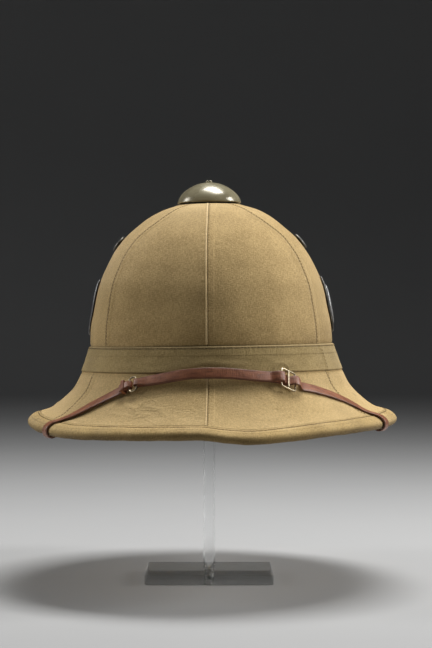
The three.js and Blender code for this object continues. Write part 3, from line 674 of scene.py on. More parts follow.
def cloth_material(name, light, dark, sewn=0.8, soil_and_shade_colour=(96, 78, 48)):
    """Plain-weave canvas with slubs, faded patches, darkening for soiling and painted shade, lightening
    for wear and painted highlight, and a sewn line where 'seam' is near 0, painted dark as groove
    shade.
    """
    recipe = Recipe(name)
    grain = recipe.uv("cloth")
    u, v, _ = recipe.split(grain)
    across = recipe.waves(u, YARN)
    down = recipe.waves(v, YARN)
    weave = recipe.times(across, down)
    slub_across = recipe.noise(recipe.stretched(grain, (0.35, 1.9, 1)), 1, detail=3)
    slub_down = recipe.noise(recipe.stretched(grain, (1.9, 0.3, 1)), 1, detail=3)
    slubs = recipe.times(slub_across, slub_down)
    flecks = recipe.noise(grain, 0.9, detail=4, roughness=0.7)
    place = recipe.place()
    patches = recipe.noise(place, 16, detail=3, roughness=0.55)
    faded = recipe.noise(place, 55, detail=4, roughness=0.6)

    tone = recipe.times(recipe.step(slubs, 0.14, 0.36), 0.6)
    tone = recipe.times_plus(recipe.step(flecks, 0.3, 0.7), 0.35, tone)
    tone = recipe.times_plus(recipe.step(patches, 0.3, 0.7), 0.3, tone)
    tone = recipe.times_plus(recipe.step(faded, 0.35, 0.7), 0.18, tone)
    tone = recipe.times_plus(weave, 0.12, tone)
    colour = recipe.mix(recipe.step(tone, 0, 1.3), dark, light)

    lightened, darkened, crease = recipe.marks()
    # The green mark darkens the canvas: soiling and stains, and painted shade on the binding's lower
    # face.
    soil_and_shade_share = recipe.times(darkened, recipe.step(flecks, 0.2, 0.7, 0.4, 1))
    colour = recipe.mix(soil_and_shade_share, colour, shade(*soil_and_shade_colour))
    # The red mark lightens it: wear, and painted highlight on the band's folded top edge.
    colour = recipe.mix(recipe.times(lightened, 0.5), colour, shade(222, 196, 148))

    distance, travelled, _ = recipe.split(recipe.uv("seam"))
    apart = recipe.math("ABSOLUTE", distance)
    line = recipe.step(apart, 0.15, 0.6, 1, 0)
    beat = recipe.waves(travelled, STITCH["pitch"])
    # The sewn line is painted dark: painted shade in the seam's groove, darkest at the stitch holes.
    painted_groove_shade = recipe.times(line, recipe.step(beat, -1, 1, 0.4 * sewn, sewn))
    colour = recipe.mix(painted_groove_shade, colour, shade(92, 74, 46))
    near = recipe.step(apart, 0.8, 3.2, 1, 0)

    fold = recipe.times(recipe.step(distance, 0, 0.9), recipe.step(distance, 5, 6.5, 1, 0))
    pucker = recipe.noise(recipe.stretched(recipe.uv("seam"), (0.15, 0.42, 1)), 1, detail=2)
    puckers = recipe.times(recipe.step(apart, 1, 9, 1, 0), pucker)
    wrinkle = recipe.noise(recipe.stretched(grain, (0.07, 0.16, 1)), 1, detail=2, distortion=1.6)
    wrinkles = recipe.times(crease, recipe.step(wrinkle, 0.42, 0.58))
    normal = recipe.bump(wrinkles, 0.4)
    normal = recipe.bump(puckers, 0.7, after=normal)
    normal = recipe.bump(fold, 0.35, after=normal)
    normal = recipe.bump(recipe.times(line, -1), 0.35, after=normal)
    normal = recipe.bump(slubs, 0.45, after=normal)
    normal = recipe.bump(weave, 0.06, 0.8, after=normal)
    worn = recipe.times(near, 0.06)
    roughness = recipe.math("SUBTRACT", 0.92, worn)
    recipe.set(Base_Color=colour, Roughness=roughness, Normal=normal)
    recipe.set(Sheen_Weight=0.12, Sheen_Roughness=0.5, Specular_IOR_Level=0.2)
    return recipe.material


def thread_material():
    """Waxed thread: twisted strands in two tones."""
    recipe = Recipe("khaki thread")
    place = recipe.place()
    strands = recipe.noise(recipe.stretched(place, (1, 1, 1.6)), 900, detail=2)
    old = recipe.noise(place, 30, detail=2)
    tone = recipe.times(recipe.step(strands, 0.3, 0.7), recipe.step(old, 0.2, 0.8, 0.6, 1))
    colour = recipe.mix(tone, shade(110, 90, 56), shade(178, 152, 104))
    recipe.set(Base_Color=colour, Roughness=0.8, Normal=recipe.bump(strands, 0.1))
    recipe.set(Specular_IOR_Level=0.25)
    return recipe.material


def leather_material():
    """Reddish brown strap leather: grain, stretched creases, and edges painted dark as burnished edge
    colour and painted shade.
    """
    recipe = Recipe("strap leather")
    flat = recipe.uv("strap")
    across, _, _ = recipe.split(flat)
    grain = recipe.noise(flat, 2.6, detail=4, roughness=0.65)
    creases = recipe.noise(recipe.stretched(flat, (0.25, 1.1, 1)), 1, detail=3, distortion=0.6)
    patches = recipe.noise(recipe.stretched(flat, (0.3, 0.12, 1)), 1, detail=3)
    streaks = recipe.noise(recipe.stretched(flat, (1.4, 0.07, 1)), 1, detail=2)
    tone = recipe.times(recipe.step(patches, 0.3, 0.7), 0.6)
    tone = recipe.times_plus(recipe.step(streaks, 0.35, 0.65), 0.4, tone)
    colour = recipe.mix(tone, shade(114, 65, 40), shade(166, 106, 74))
    cracks = recipe.step(creases, 0.56, 0.7)
    colour = recipe.mix(recipe.times(cracks, 0.35), colour, shade(70, 38, 28))
    half = STRAP["width"] / 2
    # Both edges are painted dark: burnished edge colour and painted shade along them.
    edge = recipe.step(recipe.math("ABSOLUTE", across), half - 1.1, half - 0.3)
    colour = recipe.mix(recipe.times(edge, 0.6), colour, shade(72, 42, 30))
    normal = recipe.bump(creases, 0.3)
    normal = recipe.bump(grain, 0.12, after=normal)
    roughness = recipe.step(grain, 0.3, 0.7, 0.34, 0.52)
    recipe.set(Base_Color=colour, Roughness=roughness, Normal=normal)
    recipe.set(Coat_Weight=0.25, Coat_Roughness=0.35, Specular_IOR_Level=0.5)
    return recipe.material


def painted_material():
    """Glossy olive paint on thin metal, mottled, with chips and fine scratches."""
    recipe = Recipe("olive paint")
    place = recipe.place()
    mottled = recipe.noise(place, 60, detail=3)
    orange_peel = recipe.noise(place, 900, detail=2)
    chips = recipe.noise(place, 210, detail=5, roughness=0.75)
    chipped = recipe.step(chips, 0.665, 0.69)
    scratches = recipe.noise(recipe.stretched(place, (35, 160, 900)), 1, detail=3)
    scratched = recipe.step(scratches, 0.69, 0.73)
    colour = recipe.mix(recipe.step(mottled, 0.3, 0.7), shade(126, 118, 93), shade(150, 142, 114))
    colour = recipe.mix(scratched, colour, shade(166, 158, 132))
    colour = recipe.mix(chipped, colour, shade(60, 52, 38))
    normal = recipe.bump(recipe.times(chipped, -1), 0.12)
    normal = recipe.bump(orange_peel, 0.03, after=normal)
    roughness = recipe.times_plus(chipped, 0.35, recipe.step(mottled, 0.3, 0.7, 0.2, 0.3))
    recipe.set(Base_Color=colour, Roughness=roughness, Normal=normal)
    recipe.set(Metallic=0.15, Coat_Weight=0.4, Coat_Roughness=0.18)
    return recipe.material


def metal_material(name, light, dark, rough, tarnish):
    """Bare or plated metal with tarnish patches and fine handling marks."""
    recipe = Recipe(name)
    place = recipe.place()
    patches = recipe.noise(place, 140, detail=4, roughness=0.6)
    marks = recipe.noise(recipe.stretched(place, (300, 900, 500)), 1, detail=3)
    tarnished = recipe.times(recipe.step(patches, 0.35, 0.7), tarnish)
    colour = recipe.mix(tarnished, light, dark)
    handled = recipe.step(marks, 0.3, 0.7, rough, rough + 0.1)
    roughness = recipe.times_plus(tarnished, 0.3, handled)
    recipe.set(Base_Color=colour, Roughness=roughness, Normal=recipe.bump(marks, 0.04))
    recipe.set(Metallic=1)
    return recipe.material


GAUZE_PITCH = 0.9


def gauze_material():
    """Fine woven wire at the bottom of the side vents, its openings painted near black as painted
    shade.
    """
    recipe = Recipe("vent gauze")
    flat = recipe.uv("flat")
    u, v, _ = recipe.split(flat)
    across = recipe.math("ABSOLUTE", recipe.waves(u, 2 * GAUZE_PITCH))
    down = recipe.math("ABSOLUTE", recipe.waves(v, 2 * GAUZE_PITCH))
    openings_painted_dark = recipe.times(recipe.step(across, 0.35, 0.7), recipe.step(down, 0.35, 0.7))
    # The openings are painted near black: painted shade where the vent's inside would show.
    colour = recipe.mix(openings_painted_dark, shade(120, 116, 104), shade(14, 13, 12))
    recipe.set(Base_Color=colour, Normal=recipe.bump(openings_painted_dark, -0.3))
    recipe.set(Metallic=0.6, Roughness=0.45)
    return recipe.material


def acrylic_material(name, tint, alpha):
    """Clear polished acrylic with faint handling marks and dust."""
    recipe = Recipe(name)
    place = recipe.place()
    smears = recipe.noise(place, 40, detail=4, roughness=0.6)
    dust = recipe.step(recipe.noise(place, 700, detail=2), 0.7, 0.76)
    roughness = recipe.times_plus(dust, 0.3, recipe.step(smears, 0.4, 0.75, 0.02, 0.09))
    normal = recipe.bump(smears, 0.02)
    recipe.set(Base_Color=tint, Roughness=roughness, Normal=normal)
    recipe.set(Transmission_Weight=1.0, IOR=1.49, Alpha=alpha)
    return recipe.material


def floor_material():
    """Pale matt studio paper."""
    recipe = Recipe("studio paper")
    fibres = recipe.noise(recipe.place(), 3, detail=3)
    colour = recipe.mix(fibres, shade(170, 170, 170), shade(176, 176, 175))
    recipe.set(Base_Color=colour, Roughness=0.9)
    return recipe.material


# ------------------------------------------------------------------ shell


def inset_levels(levels, depth):
    """Levels set in from the crown's outer face by a wall's thickness, square to its profile."""
    inner = []
    for i, (height, side, front, rear) in enumerate(levels):
        above = levels[max(i - 1, 0)]
        below = levels[min(i + 1, len(levels) - 1)]
        drop = above[0] - below[0]
        shrunk = []
        for column, value in ((1, side), (2, front), (3, rear)):
            flare = below[column] - above[column]
            shrunk.append(value - depth * drop / math.hypot(drop, flare))
        flare = below[1] - above[1]
        inner.append((height - depth * flare / math.hypot(drop, flare), *shrunk))
    return inner


CROWN_ROWS = 112
CROWN_CROWDING = 1.6


def crown_heights():
    """Heights of the crown's rows, closer together where the crown turns over."""
    top = CROWN_LEVELS[0][0]
    foot = CROWN_LEVELS[-1][0]
    return [top - (top - foot) * share**CROWN_CROWDING for share in spread(0, 1, CROWN_ROWS)]


# Dents of the crown: turn, height, radius, depth
CROWN_DENTS = [
    (16, 238, 26, 0.7),
    (-28, 222, 30, 0.6),
    (40, 205, 22, 0.5),
    (-75, 240, 24, 0.5),
    (140, 225, 30, 0.8),
    (-150, 210, 26, 0.6),
]
DENTS_END = (CROWN_LEVELS[0][0], 284)  # heights where they are gone and where they start to go


def crown_dent(point):
    """How far the crown's face is pushed in or out. It dies out under the ventilator's flange."""
    depth = 0.5 * noise.noise(point * 0.022) + 0.22 * noise.noise(point * 0.07)
    for turn, height, radius, dent in CROWN_DENTS:
        middle, _ = crown_face(turn, height)
        depth -= dent * bell((point - middle).length, radius)
    return depth * smooth_step(*DENTS_END, point.z)


def crown_mark(point):
    """Lighter in patches towards the top, darker above the band."""
    height = point.z
    patch = noise.noise(point * 0.03) + 0.5
    lightened = 0.35 * smooth_step(262, 288, height) * patch
    darkened = 0.28 * smooth_step(200, 184, height) * max(noise.noise(point * 0.05) + 0.4, 0)
    return lightened, min(max(darkened, 0), 1), 0


def crown_cover():
    outer = [crown_level(height) for height in crown_heights()]
    inner = inset_levels(CROWN_LEVELS[:INNER_LEVELS], SHELL_WALL)
    height, side, front, rear = CROWN_LEVELS[-1]
    inner_foot = (height, side - SHELL_WALL, front - SHELL_WALL, rear - SHELL_WALL)
    hole_foot = (inner[0][0], *CROWN_HOLE[1:])
    inside = [inner_foot, *reversed(inner), hole_foot, CROWN_HOLE]

    def section(turn):
        points = []
        for level in outer:
            point, normal = crown_face(turn, level[0])
            points.append(point + normal * crown_dent(point))
        return points + [oval_at(level, turn)[0] for level in inside]

    seams = {"seams": CROWN_SEAMS, "seam_turn": crown_seam_turn}
    return ring_piece("crown_cover", section, **seams, marks_at=crown_mark)


# The welt's section, as shares of its half width and rise
WELT_ARC = [(1, -0.5), (0.7, 0.7), (0.15, 1), (-0.4, 0.92), (-0.85, 0.35), (-1, -0.5)]


def welt(path):
    """A rounded ridge along a path of (point, normal) pairs."""
    half_width, rise = WELT["half_width"], WELT["rise"]
    sections = []
    for i, (point, normal) in enumerate(path):
        before = path[max(i - 1, 0)][0]
        after = path[min(i + 1, len(path) - 1)][0]
        side = (after - before).cross(normal).normalized()
        sections.append([point + side * x * half_width + normal * y * rise for x, y in WELT_ARC])
    return sweep(sections)


def crown_line(seam, beside, highest=SEAM_ENDS["highest"], lift=0.0):
    """A line up the crown at a distance beside a seam, as (point, normal) pairs."""
    path = []
    for height in spread(SEAM_ENDS["lowest"], highest, 60):
        there = crown_seam_turn(seam, height)
        middle, _ = crown_face(there, height)
        degrees = beside / (DEG * math.hypot(middle.x, middle.y))
        point, normal = crown_face(there + degrees, height)
        path.append((point + normal * (crown_dent(point) + lift), normal))
    return path


def crown_seam_stitches():
    lines = [crown_line(turn, STITCH["beside_seam"], lift=STITCH["lift"]) for turn in CROWN_SEAMS]
    return mesh_piece("crown_stitches", *joined([stitches(line) for line in lines]))


def front_welt():
    up_crown = crown_line(WELT_TURN, WELT["beside"], SEAM_ENDS["welt_highest"])
    over_brim = brim_line(WELT_TURN, WELT["beside"], 0, BINDING_REACH)
    points, faces = joined([welt(up_crown), welt(over_brim)])
    size = len(WELT_ARC)
    cloth = [(corner % size * 0.5, corner // size * 1.9) for face in faces for corner in face]
    seam = [(FAR, 0)] * len(cloth)
    return mesh_piece("front_welt", points, faces, uvs={"cloth": cloth, "seam": seam})


# Creases of the brim's cloth: turn, reach, half length, half width, angle to the rim, height
BRIM_CREASES = [
    (-29, 0.42, 9, 1.6, 20, 0.7),
    (-25, 0.5, 8, 1.4, 35, 0.6),
    (-20, 0.44, 9, 1.5, 12, 0.6),
    (-16, 0.52, 6, 1.3, 40, 0.5),
    (-33, 0.54, 7, 1.5, 8, 0.5),
    (-44, 0.7, 12, 2.4, 0, 0.5),
    (20, 0.6, 14, 3, -6, 0.4),
    (41, 0.5, 12, 2.2, -14, 0.4),
    (70, 0.45, 12, 2.4, 10, 0.6),
    (-82, 0.5, 14, 2.5, -12, 0.7),
    (105, 0.55, 16, 3, 5, 0.7),
    (-140, 0.5, 16, 2.6, -10, 0.7),
    (160, 0.6, 14, 2.6, 14, 0.6),
]
# Dark spots and stains on the brim: turn, reach, radius, strength
BRIM_STAINS = [
    (-70, 0.93, 1.6, 0.9),
    (-67, 0.9, 1.1, 0.8),
    (-35, 0.27, 4, 0.55),
    (-30, 0.3, 3, 0.5),
    (72, 0.34, 2.2, 0.7),
    (69, 0.4, 1.4, 0.5),
    (10, 0.25, 14, 0.18),
    (-50, 0.5, 16, 0.22),
    (48, 0.6, 12, 0.2),
    (130, 0.4, 18, 0.3),
    (-120, 0.6, 16, 0.3),
]
# Where the brim's cloth is finely wrinkled: turn, reach, radius, strength
BRIM_WRINKLED = [
    (-24, 0.48, 20, 1.0),
    (-8, 0.55, 14, 0.5),
    (22, 0.5, 16, 0.35),
    (-52, 0.6, 16, 0.4),
    (60, 0.6, 14, 0.35),
    (110, 0.5, 22, 0.5),
    (-130, 0.5, 24, 0.5),
    (178, 0.5, 24, 0.4),
]


def brim_place(turn, reach):
    return stood_at(turn, brim_top(turn, reach))


def places_of(table):
    return [(brim_place(turn, reach), radius, strength) for turn, reach, radius, strength in table]


STAIN_PLACES = places_of(BRIM_STAINS)
WRINKLE_PLACES = places_of(BRIM_WRINKLED)


def strongest(places, point):
    """How strongly the nearest of several places touches a point, from 0 to 1."""
    return max(force * bell((point - middle).length, radius) for middle, radius, force in places)


def crease_frames():
    """For each crease: its middle, the direction along it and across it, and its sizes."""
    frames = []
    for turn, reach, half_length, half_width, angle, height in BRIM_CREASES:
        middle = brim_place(turn, reach)
        around = (brim_place(turn + 1, reach) - middle).normalized()
        outwards = (brim_place(turn, reach + 0.02) - middle).normalized()
        along = around * math.cos(angle * DEG) + outwards * math.sin(angle * DEG)
        across = outwards * math.cos(angle * DEG) - around * math.sin(angle * DEG)
        frames.append((middle, along, across, half_length, half_width, height))
    return frames


CREASE_FRAMES = crease_frames()


def brim_relief(point):
    """Height of the brim's cloth over its smooth face."""
    height = 0.45 * noise.noise(point * 0.03) + 0.15 * noise.noise(point * 0.11)
    for middle, along, across, half_length, half_width, rise in CREASE_FRAMES:
        away = point - middle
        if away.length < 3 * half_length:
            bowed = away.dot(across) + 0.02 * away.dot(along) ** 2
            height += rise * bell(away.dot(along), half_length) * bell(bowed, half_width)
    return height


BAND_SWELL = {"rise": 0.9, "outer_reach": 0.22, "inner_reach": 0.04}


def brim_rise(reach, point):
    """The relief, which dies out at the foot and the binding, and the swell against the band."""
    settled = smooth_step(0, 0.08, reach) * smooth_step(BINDING_REACH, BINDING_REACH - 0.06, reach)
    swell = smooth_step(BAND_SWELL["outer_reach"], BAND_SWELL["inner_reach"], reach)
    return settled * brim_relief(point) + BAND_SWELL["rise"] * swell


def brim_mark(point):
    lightened = 0.25 * max(noise.noise(point * 0.04) + 0.2, 0)
    return lightened, strongest(STAIN_PLACES, point), strongest(WRINKLE_PLACES, point)


def brim_cover():
    inset = BINDING + GAP
    open_reaches = spread(0, BINDING_REACH, 34)
    bound_reaches = spread(BINDING_REACH, 1, 4)
    under_reaches = spread(0.04, BINDING_REACH - 0.02, 16)

    def section(turn):
        top = []
        for reach in open_reaches:
            flat = brim_top(turn, reach)
            relief = brim_rise(reach, stood_at(turn, flat))
            top.append(flat + brim_normal(turn, reach) * relief)
        top += [brim_below(turn, reach, inset) for reach in bound_reaches]
        edge = [brim_edge(turn, angle, RIM_RADIUS - inset) for angle in (45, 90, 135)]
        under = [brim_below(turn, reach, 2 * RIM_RADIUS - inset) for reach in reversed(bound_reaches)]
        bottom = [brim_below(turn, reach, SHELL_WALL) for reach in reversed(under_reaches)]
        loop = top + edge + under + bottom + [Vector((-SHELL_WALL, BRIM_FOOT[0]))]
        return [stood_at(turn, flat) for flat in loop]

    return ring_piece("brim_cover", section, seams=BRIM_SEAMS, marks_at=brim_mark)


def brim_line(turn, beside, start, end, lift=0.0):
    """A line across the brim's top at a distance beside a turn, as (point, normal) pairs."""
    path = []
    for reach in spread(start, end, 30):
        middle = brim_place(turn, reach)
        degrees = beside / (DEG * math.hypot(middle.x, middle.y))
        normal = facing_at(turn, brim_normal(turn, reach))
        point = brim_place(turn + degrees, reach)
        path.append((point + normal * (brim_rise(reach, point) + lift), normal))
    return path


def brim_seam_stitches():
    ends = (0.06, BINDING_REACH - 0.01)
    lines = [brim_line(turn, STITCH["beside_seam"], *ends, lift=STITCH["lift"]) for turn in BRIM_SEAMS]
    return mesh_piece("brim_stitches", *joined([stitches(line) for line in lines]))


# ------------------------------------------------------------------ hatband

BAND_ROWS = 22
BAND_TALL = BAND_TOP[0] - BAND_FOOT[0]
BAND_ARC = DEG * 105  # millimetres along the band for a degree of turn, about
BAND_LINE = 1.2  # the sewn line below the band's top edge
# Raised arcs pressed into the band: turn, height, radius, half width, rise
BAND_ARCS = [(30.5, 162.5, 7, 1.1, 0.55), (31, 161.5, 10, 1.4, 0.25)]


def band_level(share, turn, depth=0.0):
    """The band's face at a share of its height from the foot up, with a depth below it."""
    lift = BAND_WAVE * math.cos((turn - BAND_HIGHEST) * DEG) * (1 - share)
    slope = BAND_TALL / (BAND_FOOT[1] - BAND_TOP[1])
    height = BAND_FOOT[0] + BAND_TALL * share + lift
    sizes = []
    for top, foot in zip(BAND_TOP[1:], BAND_FOOT[1:]):
        sizes.append(foot + (top - foot) * share - lift / slope - depth)
    return (height, *sizes)


BAND_ARC_PLACES = [
    (oval_at(band_level((height - BAND_FOOT[0]) / BAND_TALL, turn), turn)[0], *sizes)
    for turn, height, *sizes in BAND_ARCS
]


def band_relief(point, share, turn):
    """Height of the band's cloth over its smooth face: folded top edge, sewn groove and creases."""
    down = (1 - share) * BAND_TALL
    ridge = 0.4 * bell(down - 0.6, 0.7) - 0.15 * bell(down - BAND_LINE, 0.6) - 0.7 * bell(down, 0.4)
    up = share * BAND_TALL
    hem = 0.1 * bell(up - 0.9, 1.0)
    around = turn * BAND_ARC
    folds = noise.noise(Vector((around / 26, up / 5, 0)))
    fine = noise.noise(Vector((around / 9, up / 2.6, 7)))
    creases = (0.34 * folds + 0.16 * fine) * smooth_step(0.05, 0.3, share) * smooth_step(1, 0.8, share)
    overlap = wrapped(turn - BAND_JOINT) * BAND_ARC
    joint = 0.5 * smooth_step(-0.6, 0.6, overlap) * smooth_step(9, 2, overlap)
    arcs = 0
    for middle, radius, half_width, rise in BAND_ARC_PLACES:
        away = point - middle
        if away.length < 2 * radius and away.z > 0:
            arcs += rise * bell(away.length - radius, half_width)
    return ridge + hem + creases + joint + arcs


def band_cover():
    shares = spread(0, 1, BAND_ROWS)

    def section(turn):
        outer = []
        for share in reversed(shares):
            point, out = oval_at(band_level(share, turn), turn)
            outer.append(point + out * band_relief(point, share, turn))
        inner = [oval_at(band_level(share, turn, CLOTH), turn)[0] for share in (0, 0.5, 1)]
        return outer + inner

    lines = [(1 - share) * BAND_TALL - BAND_LINE for share in reversed(shares)] + 3 * [FAR]
    return ring_piece("band_cover", section, lines=lines, marks_at=band_mark, columns=FINE_COLUMNS)


def band_mark(point):
    # Soiling and wear in patches.
    darkened = 0.25 * max(noise.noise(point * 0.035) + 0.15, 0)
    lightened = 0.15 * max(noise.noise(point * 0.06), 0)
    # The folded top edge is painted lighter: wear, and painted highlight along the fold.
    lightened += 0.6 * smooth_step(BAND_TOP[0] - 1.6, BAND_TOP[0] - 0.4, point.z)
    return lightened, darkened, 0


def band_stitches():
    share = 1 - BAND_LINE / BAND_TALL

    def on_band(share, turn):
        point, out = oval_at(band_level(share, turn), turn)
        return point + out * (band_relief(point, share, turn) + STITCH["lift"]), out

    ring = [on_band(share, turn) for turn in spread(-180, 180, COLUMNS + 1)]
    joint = [on_band(height, BAND_JOINT + 0.9) for height in spread(0.08, 0.86, 20)]
    return mesh_piece("band_stitches", *joined([stitches(ring), stitches(joint)]))


# ------------------------------------------------------------------ edge binding

BINDING_LINE = 1.5  # the sewn line outside the binding's inner edge
BINDING_START = BINDING_REACH + 0.005


def binding_pucker(point):
    """Small pulls of the binding between its stitches and round the edge."""
    return 0.3 * noise.noise(point * 0.09) + 0.16 * noise.noise(point * 0.3)


def binding_cover():
    reaches = spread(BINDING_START, 1, 12)
    angles = spread(12, 168, 14)
    inner_reaches = spread(BINDING_START, 1, 5)
    run = BRIM_RUN["front"]

    def section(turn):
        top = []
        for reach in reaches:
            flat = brim_top(turn, reach)
            inward = (reach - reaches[0]) * run
            groove = -0.35 * bell(inward - BINDING_LINE, 0.8)
            pucker = binding_pucker(stood_at(turn, flat)) * smooth_step(0, 2, inward)
            top.append(flat + brim_normal(turn, reach) * (groove + pucker + 0.15))
        edge = []
        for angle in angles:
            flat = brim_edge(turn, angle, RIM_RADIUS)
            edge.append(brim_edge(turn, angle, RIM_RADIUS + binding_pucker(stood_at(turn, flat))))
        under = [brim_below(turn, reach, 2 * RIM_RADIUS) for reach in reversed(reaches)]
        inner = [brim_below(turn, reach, 2 * RIM_RADIUS - BINDING) for reach in inner_reaches]
        inner += [brim_edge(turn, angle, RIM_RADIUS - BINDING) for angle in (135, 90, 45)]
        inner += [brim_below(turn, reach, BINDING) for reach in reversed(inner_reaches)]
        return [stood_at(turn, flat) for flat in top + edge + under + inner]

    lines = [(reach - reaches[0]) * run - BINDING_LINE for reach in reaches]
    lines += [lines[-1] + 2] * len(angles)
    lines += [BINDING_LINE - (reach - reaches[0]) * run for reach in reversed(reaches)]
    lines += [FAR] * (2 * len(inner_reaches) + 3)
    fine = {"marks_at": binding_mark, "columns": FINE_COLUMNS}
    return ring_piece("binding_cover", section, lines=lines, **fine)


def binding_mark(point):
    """Rubbed in patches along its edge, darker on its lower face with grime and painted shade, and
    spotted at the left.
    """
    turn = math.atan2(point.x, -point.y) / DEG
    # low marks the edge's lower face: painted shade there with some grime, and less wear.
    low = smooth_step(6, 2.8, point.z - rim_height(turn))
    lightened = 0.5 * max(noise.noise(point * 0.05 + Vector((3, 0, 0))), 0) * (1 - low)
    grime_and_shade = 0.45 * max(noise.noise(point * 0.045), 0) + 0.85 * low
    return lightened, min(max(grime_and_shade, strongest(STAIN_PLACES, point)), 1), 0


def binding_stitches():
    reach = BINDING_START + BINDING_LINE / BRIM_RUN["front"]
    ring = []
    for turn in spread(-180, 180, COLUMNS + 1):
        normal = facing_at(turn, brim_normal(turn, reach))
        point = brim_place(turn, reach)
        ring.append((point + normal * (binding_pucker(point) - 0.15), normal))
    return mesh_piece("binding_stitches", *stitches(ring))


# ------------------------------------------------------------------ ventilators


def dome_arc(radius, rise, rim, steps):
    """(radius, height) pairs up a ball's cap from its rim to the axis."""
    ball = (radius * radius + rise * rise) / (2 * rise)
    start = math.asin((ball - rise) / ball)
    arc = []
    for i in range(steps + 1):
        angle = start + (math.pi / 2 - start) * i / steps
        flat = AXIS if i == steps else ball * math.cos(angle)
        arc.append((flat, rim + ball * math.sin(angle) - (ball - rise)))
    return arc


def ventilator_cap():
    """A spun dome, a little fuller than a ball's cap, with a rolled lip."""
    radius, rise, rim, wall, lip, bulge = CAP.values()
    inner = dome_arc(radius - wall, rise - wall, rim, 12)
    outer = dome_arc(radius, rise, rim, 36)
    rolled = [(radius - wall + lip, rim - lip), (radius - lip / 2, rim - lip)]
    points, faces = turned([*reversed(inner), *rolled, *outer], 96)
    for point in points:
        swell = 1 + bulge * math.sin(math.pi * min(max((point.z - rim) / rise, 0), 1))
        point.x *= swell
        point.y *= swell
    points = [point + 0.25 * noise.noise_vector(point * 0.06) for point in points]
    return mesh_piece("ventilator_dome", points, faces)


def ventilator_collar():
    points, faces = turned(
        [
            (TUBE["inner"], TUBE["bottom"]),
            (TUBE["outer"], TUBE["bottom"]),
            (TUBE["outer"], FLANGE["bottom"]),
            (FLANGE["radius"] - 0.2, FLANGE["bottom"]),
            (FLANGE["radius"], FLANGE["bottom"] + 0.2),
            (FLANGE["radius"], FLANGE["top"] - 0.2),
            (FLANGE["radius"] - 0.2, FLANGE["top"]),
            (TUBE["outer"] + 0.4, FLANGE["top"]),
            (TUBE["outer"], FLANGE["top"] + 0.4),
            (TUBE["outer"], TUBE["top"] - 0.3),
            (TUBE["outer"] - 0.3, TUBE["top"]),
            (TUBE["inner"] + 0.3, TUBE["top"]),
            (TUBE["inner"], TUBE["top"] - 0.3),
        ],
        64,
    )
    return mesh_piece("ventilator_tube", points, faces)


def ventilator_stud():
    """A low domed screw head with a slot."""
    foot = CAP["rim"] + CAP["rise"] - 0.2
    radius, rise = STUD["radius"], STUD["rise"]
    profile = [
        (AXIS, foot),
        (radius, foot),
        (radius, foot + rise * 0.5),
        (radius * 0.9, foot + rise * 0.8),
        (radius * 0.7, foot + rise * 0.96),
        (radius * 0.45, foot + rise),
        (radius * 0.2, foot + rise),
        (AXIS, foot + rise),
    ]
    points, faces = turned(profile, 48)
    for point in points:
        if abs(point.x) < STUD["slot"] / 2:
            point.z = min(point.z, foot + rise * 0.45)
    return mesh_piece("ventilator_knob", points, faces)


def vent_frame(turn):
    point, normal = crown_face(turn, SIDE_VENT["height"])
    return frame_on(point, normal, Vector((0, 0, 1)))


def side_vent(name, turn):
    """A pressed eyelet on the crown's side: rounded flange, rolled throat."""
    _, radius, hole, lift, thickness, floor = SIDE_VENT.values()
    profile = [
        (hole - 0.1, lift),
        (radius - 0.3, lift + 0.1),
        (radius, lift + 0.4),
        (radius - 0.1, lift + thickness * 0.5),
        (radius - 0.6, lift + thickness * 0.82),
        (radius - 1.3, lift + thickness * 0.98),
        (hole + 1.0, lift + thickness),
        (hole + 0.45, lift + thickness * 0.93),
        (hole + 0.1, lift + thickness * 0.7),
        (hole, lift + floor),
    ]
    return mesh_piece(name, *turned(profile, 48, vent_frame(turn)))


def vent_gauze(name, turn):
    """A slightly domed disc of wire gauze in a side vent's throat."""
    frame = vent_frame(turn)
    rings = spread(0.2, SIDE_VENT["hole"] + 0.2, 5)
    spokes = 32
    points, flat = [], []
    for radius in rings:
        for angle in circle(spokes):
            x, y = radius * math.cos(angle), radius * math.sin(angle)
            flat.append((x, y))
            sag = 0.25 * (1 - (radius / rings[-1]) ** 2)
            points.append(frame @ Vector((x, y, SIDE_VENT["lift"] + 0.7 + sag)))
    faces = [list(range(spokes))]
    for i in range(len(rings) - 1):
        for j in range(spokes):
            k = (j + 1) % spokes
            start = i * spokes
            faces.append([start + j, start + spokes + j, start + spokes + k, start + k])
    uvs = {"flat": [flat[corner] for face in faces for corner in face]}
    return mesh_piece(name, points, faces, uvs=uvs)


# ------------------------------------------------------------------ badges


def crown_plate(turn, ends, half_width, lift, thickness_at, rows, columns):
    """A closed plate that follows the crown between two heights. half_width and thickness_at say
    its sizes for a share of its height, and the second for a share across too."""
    top, bottom = ends
    front, back = [], []
    for i in range(rows + 1):
        share = i / rows
        height = top + (bottom - top) * share
        degrees = half_width(share) / (crown_front(height) * DEG)
        for j in range(columns + 1):
            across = 2 * j / columns - 1
            point, normal = crown_face(turn + across * degrees, height)
            front.append(point + normal * (lift + thickness_at(share, across)))
            back.append(point + normal * lift)
    size = len(front)
    faces = []
    for i in range(rows):
        for j in range(columns):
            a = i * (columns + 1) + j
            b = a + columns + 1
            faces.append([a, b, b + 1, a + 1])
            faces.append([size + a, size + a + 1, size + b + 1, size + b])
    rim = list(range(columns))
    rim += [i * (columns + 1) + columns for i in range(rows)]
    rim += [rows * (columns + 1) + j for j in range(columns, 0, -1)]
    rim += [i * (columns + 1) for i in range(rows, 0, -1)]
    for a, b in zip(rim, rim[1:] + rim[:1]):
        faces.append([a, b, size + b, size + a])
    return front + back, faces


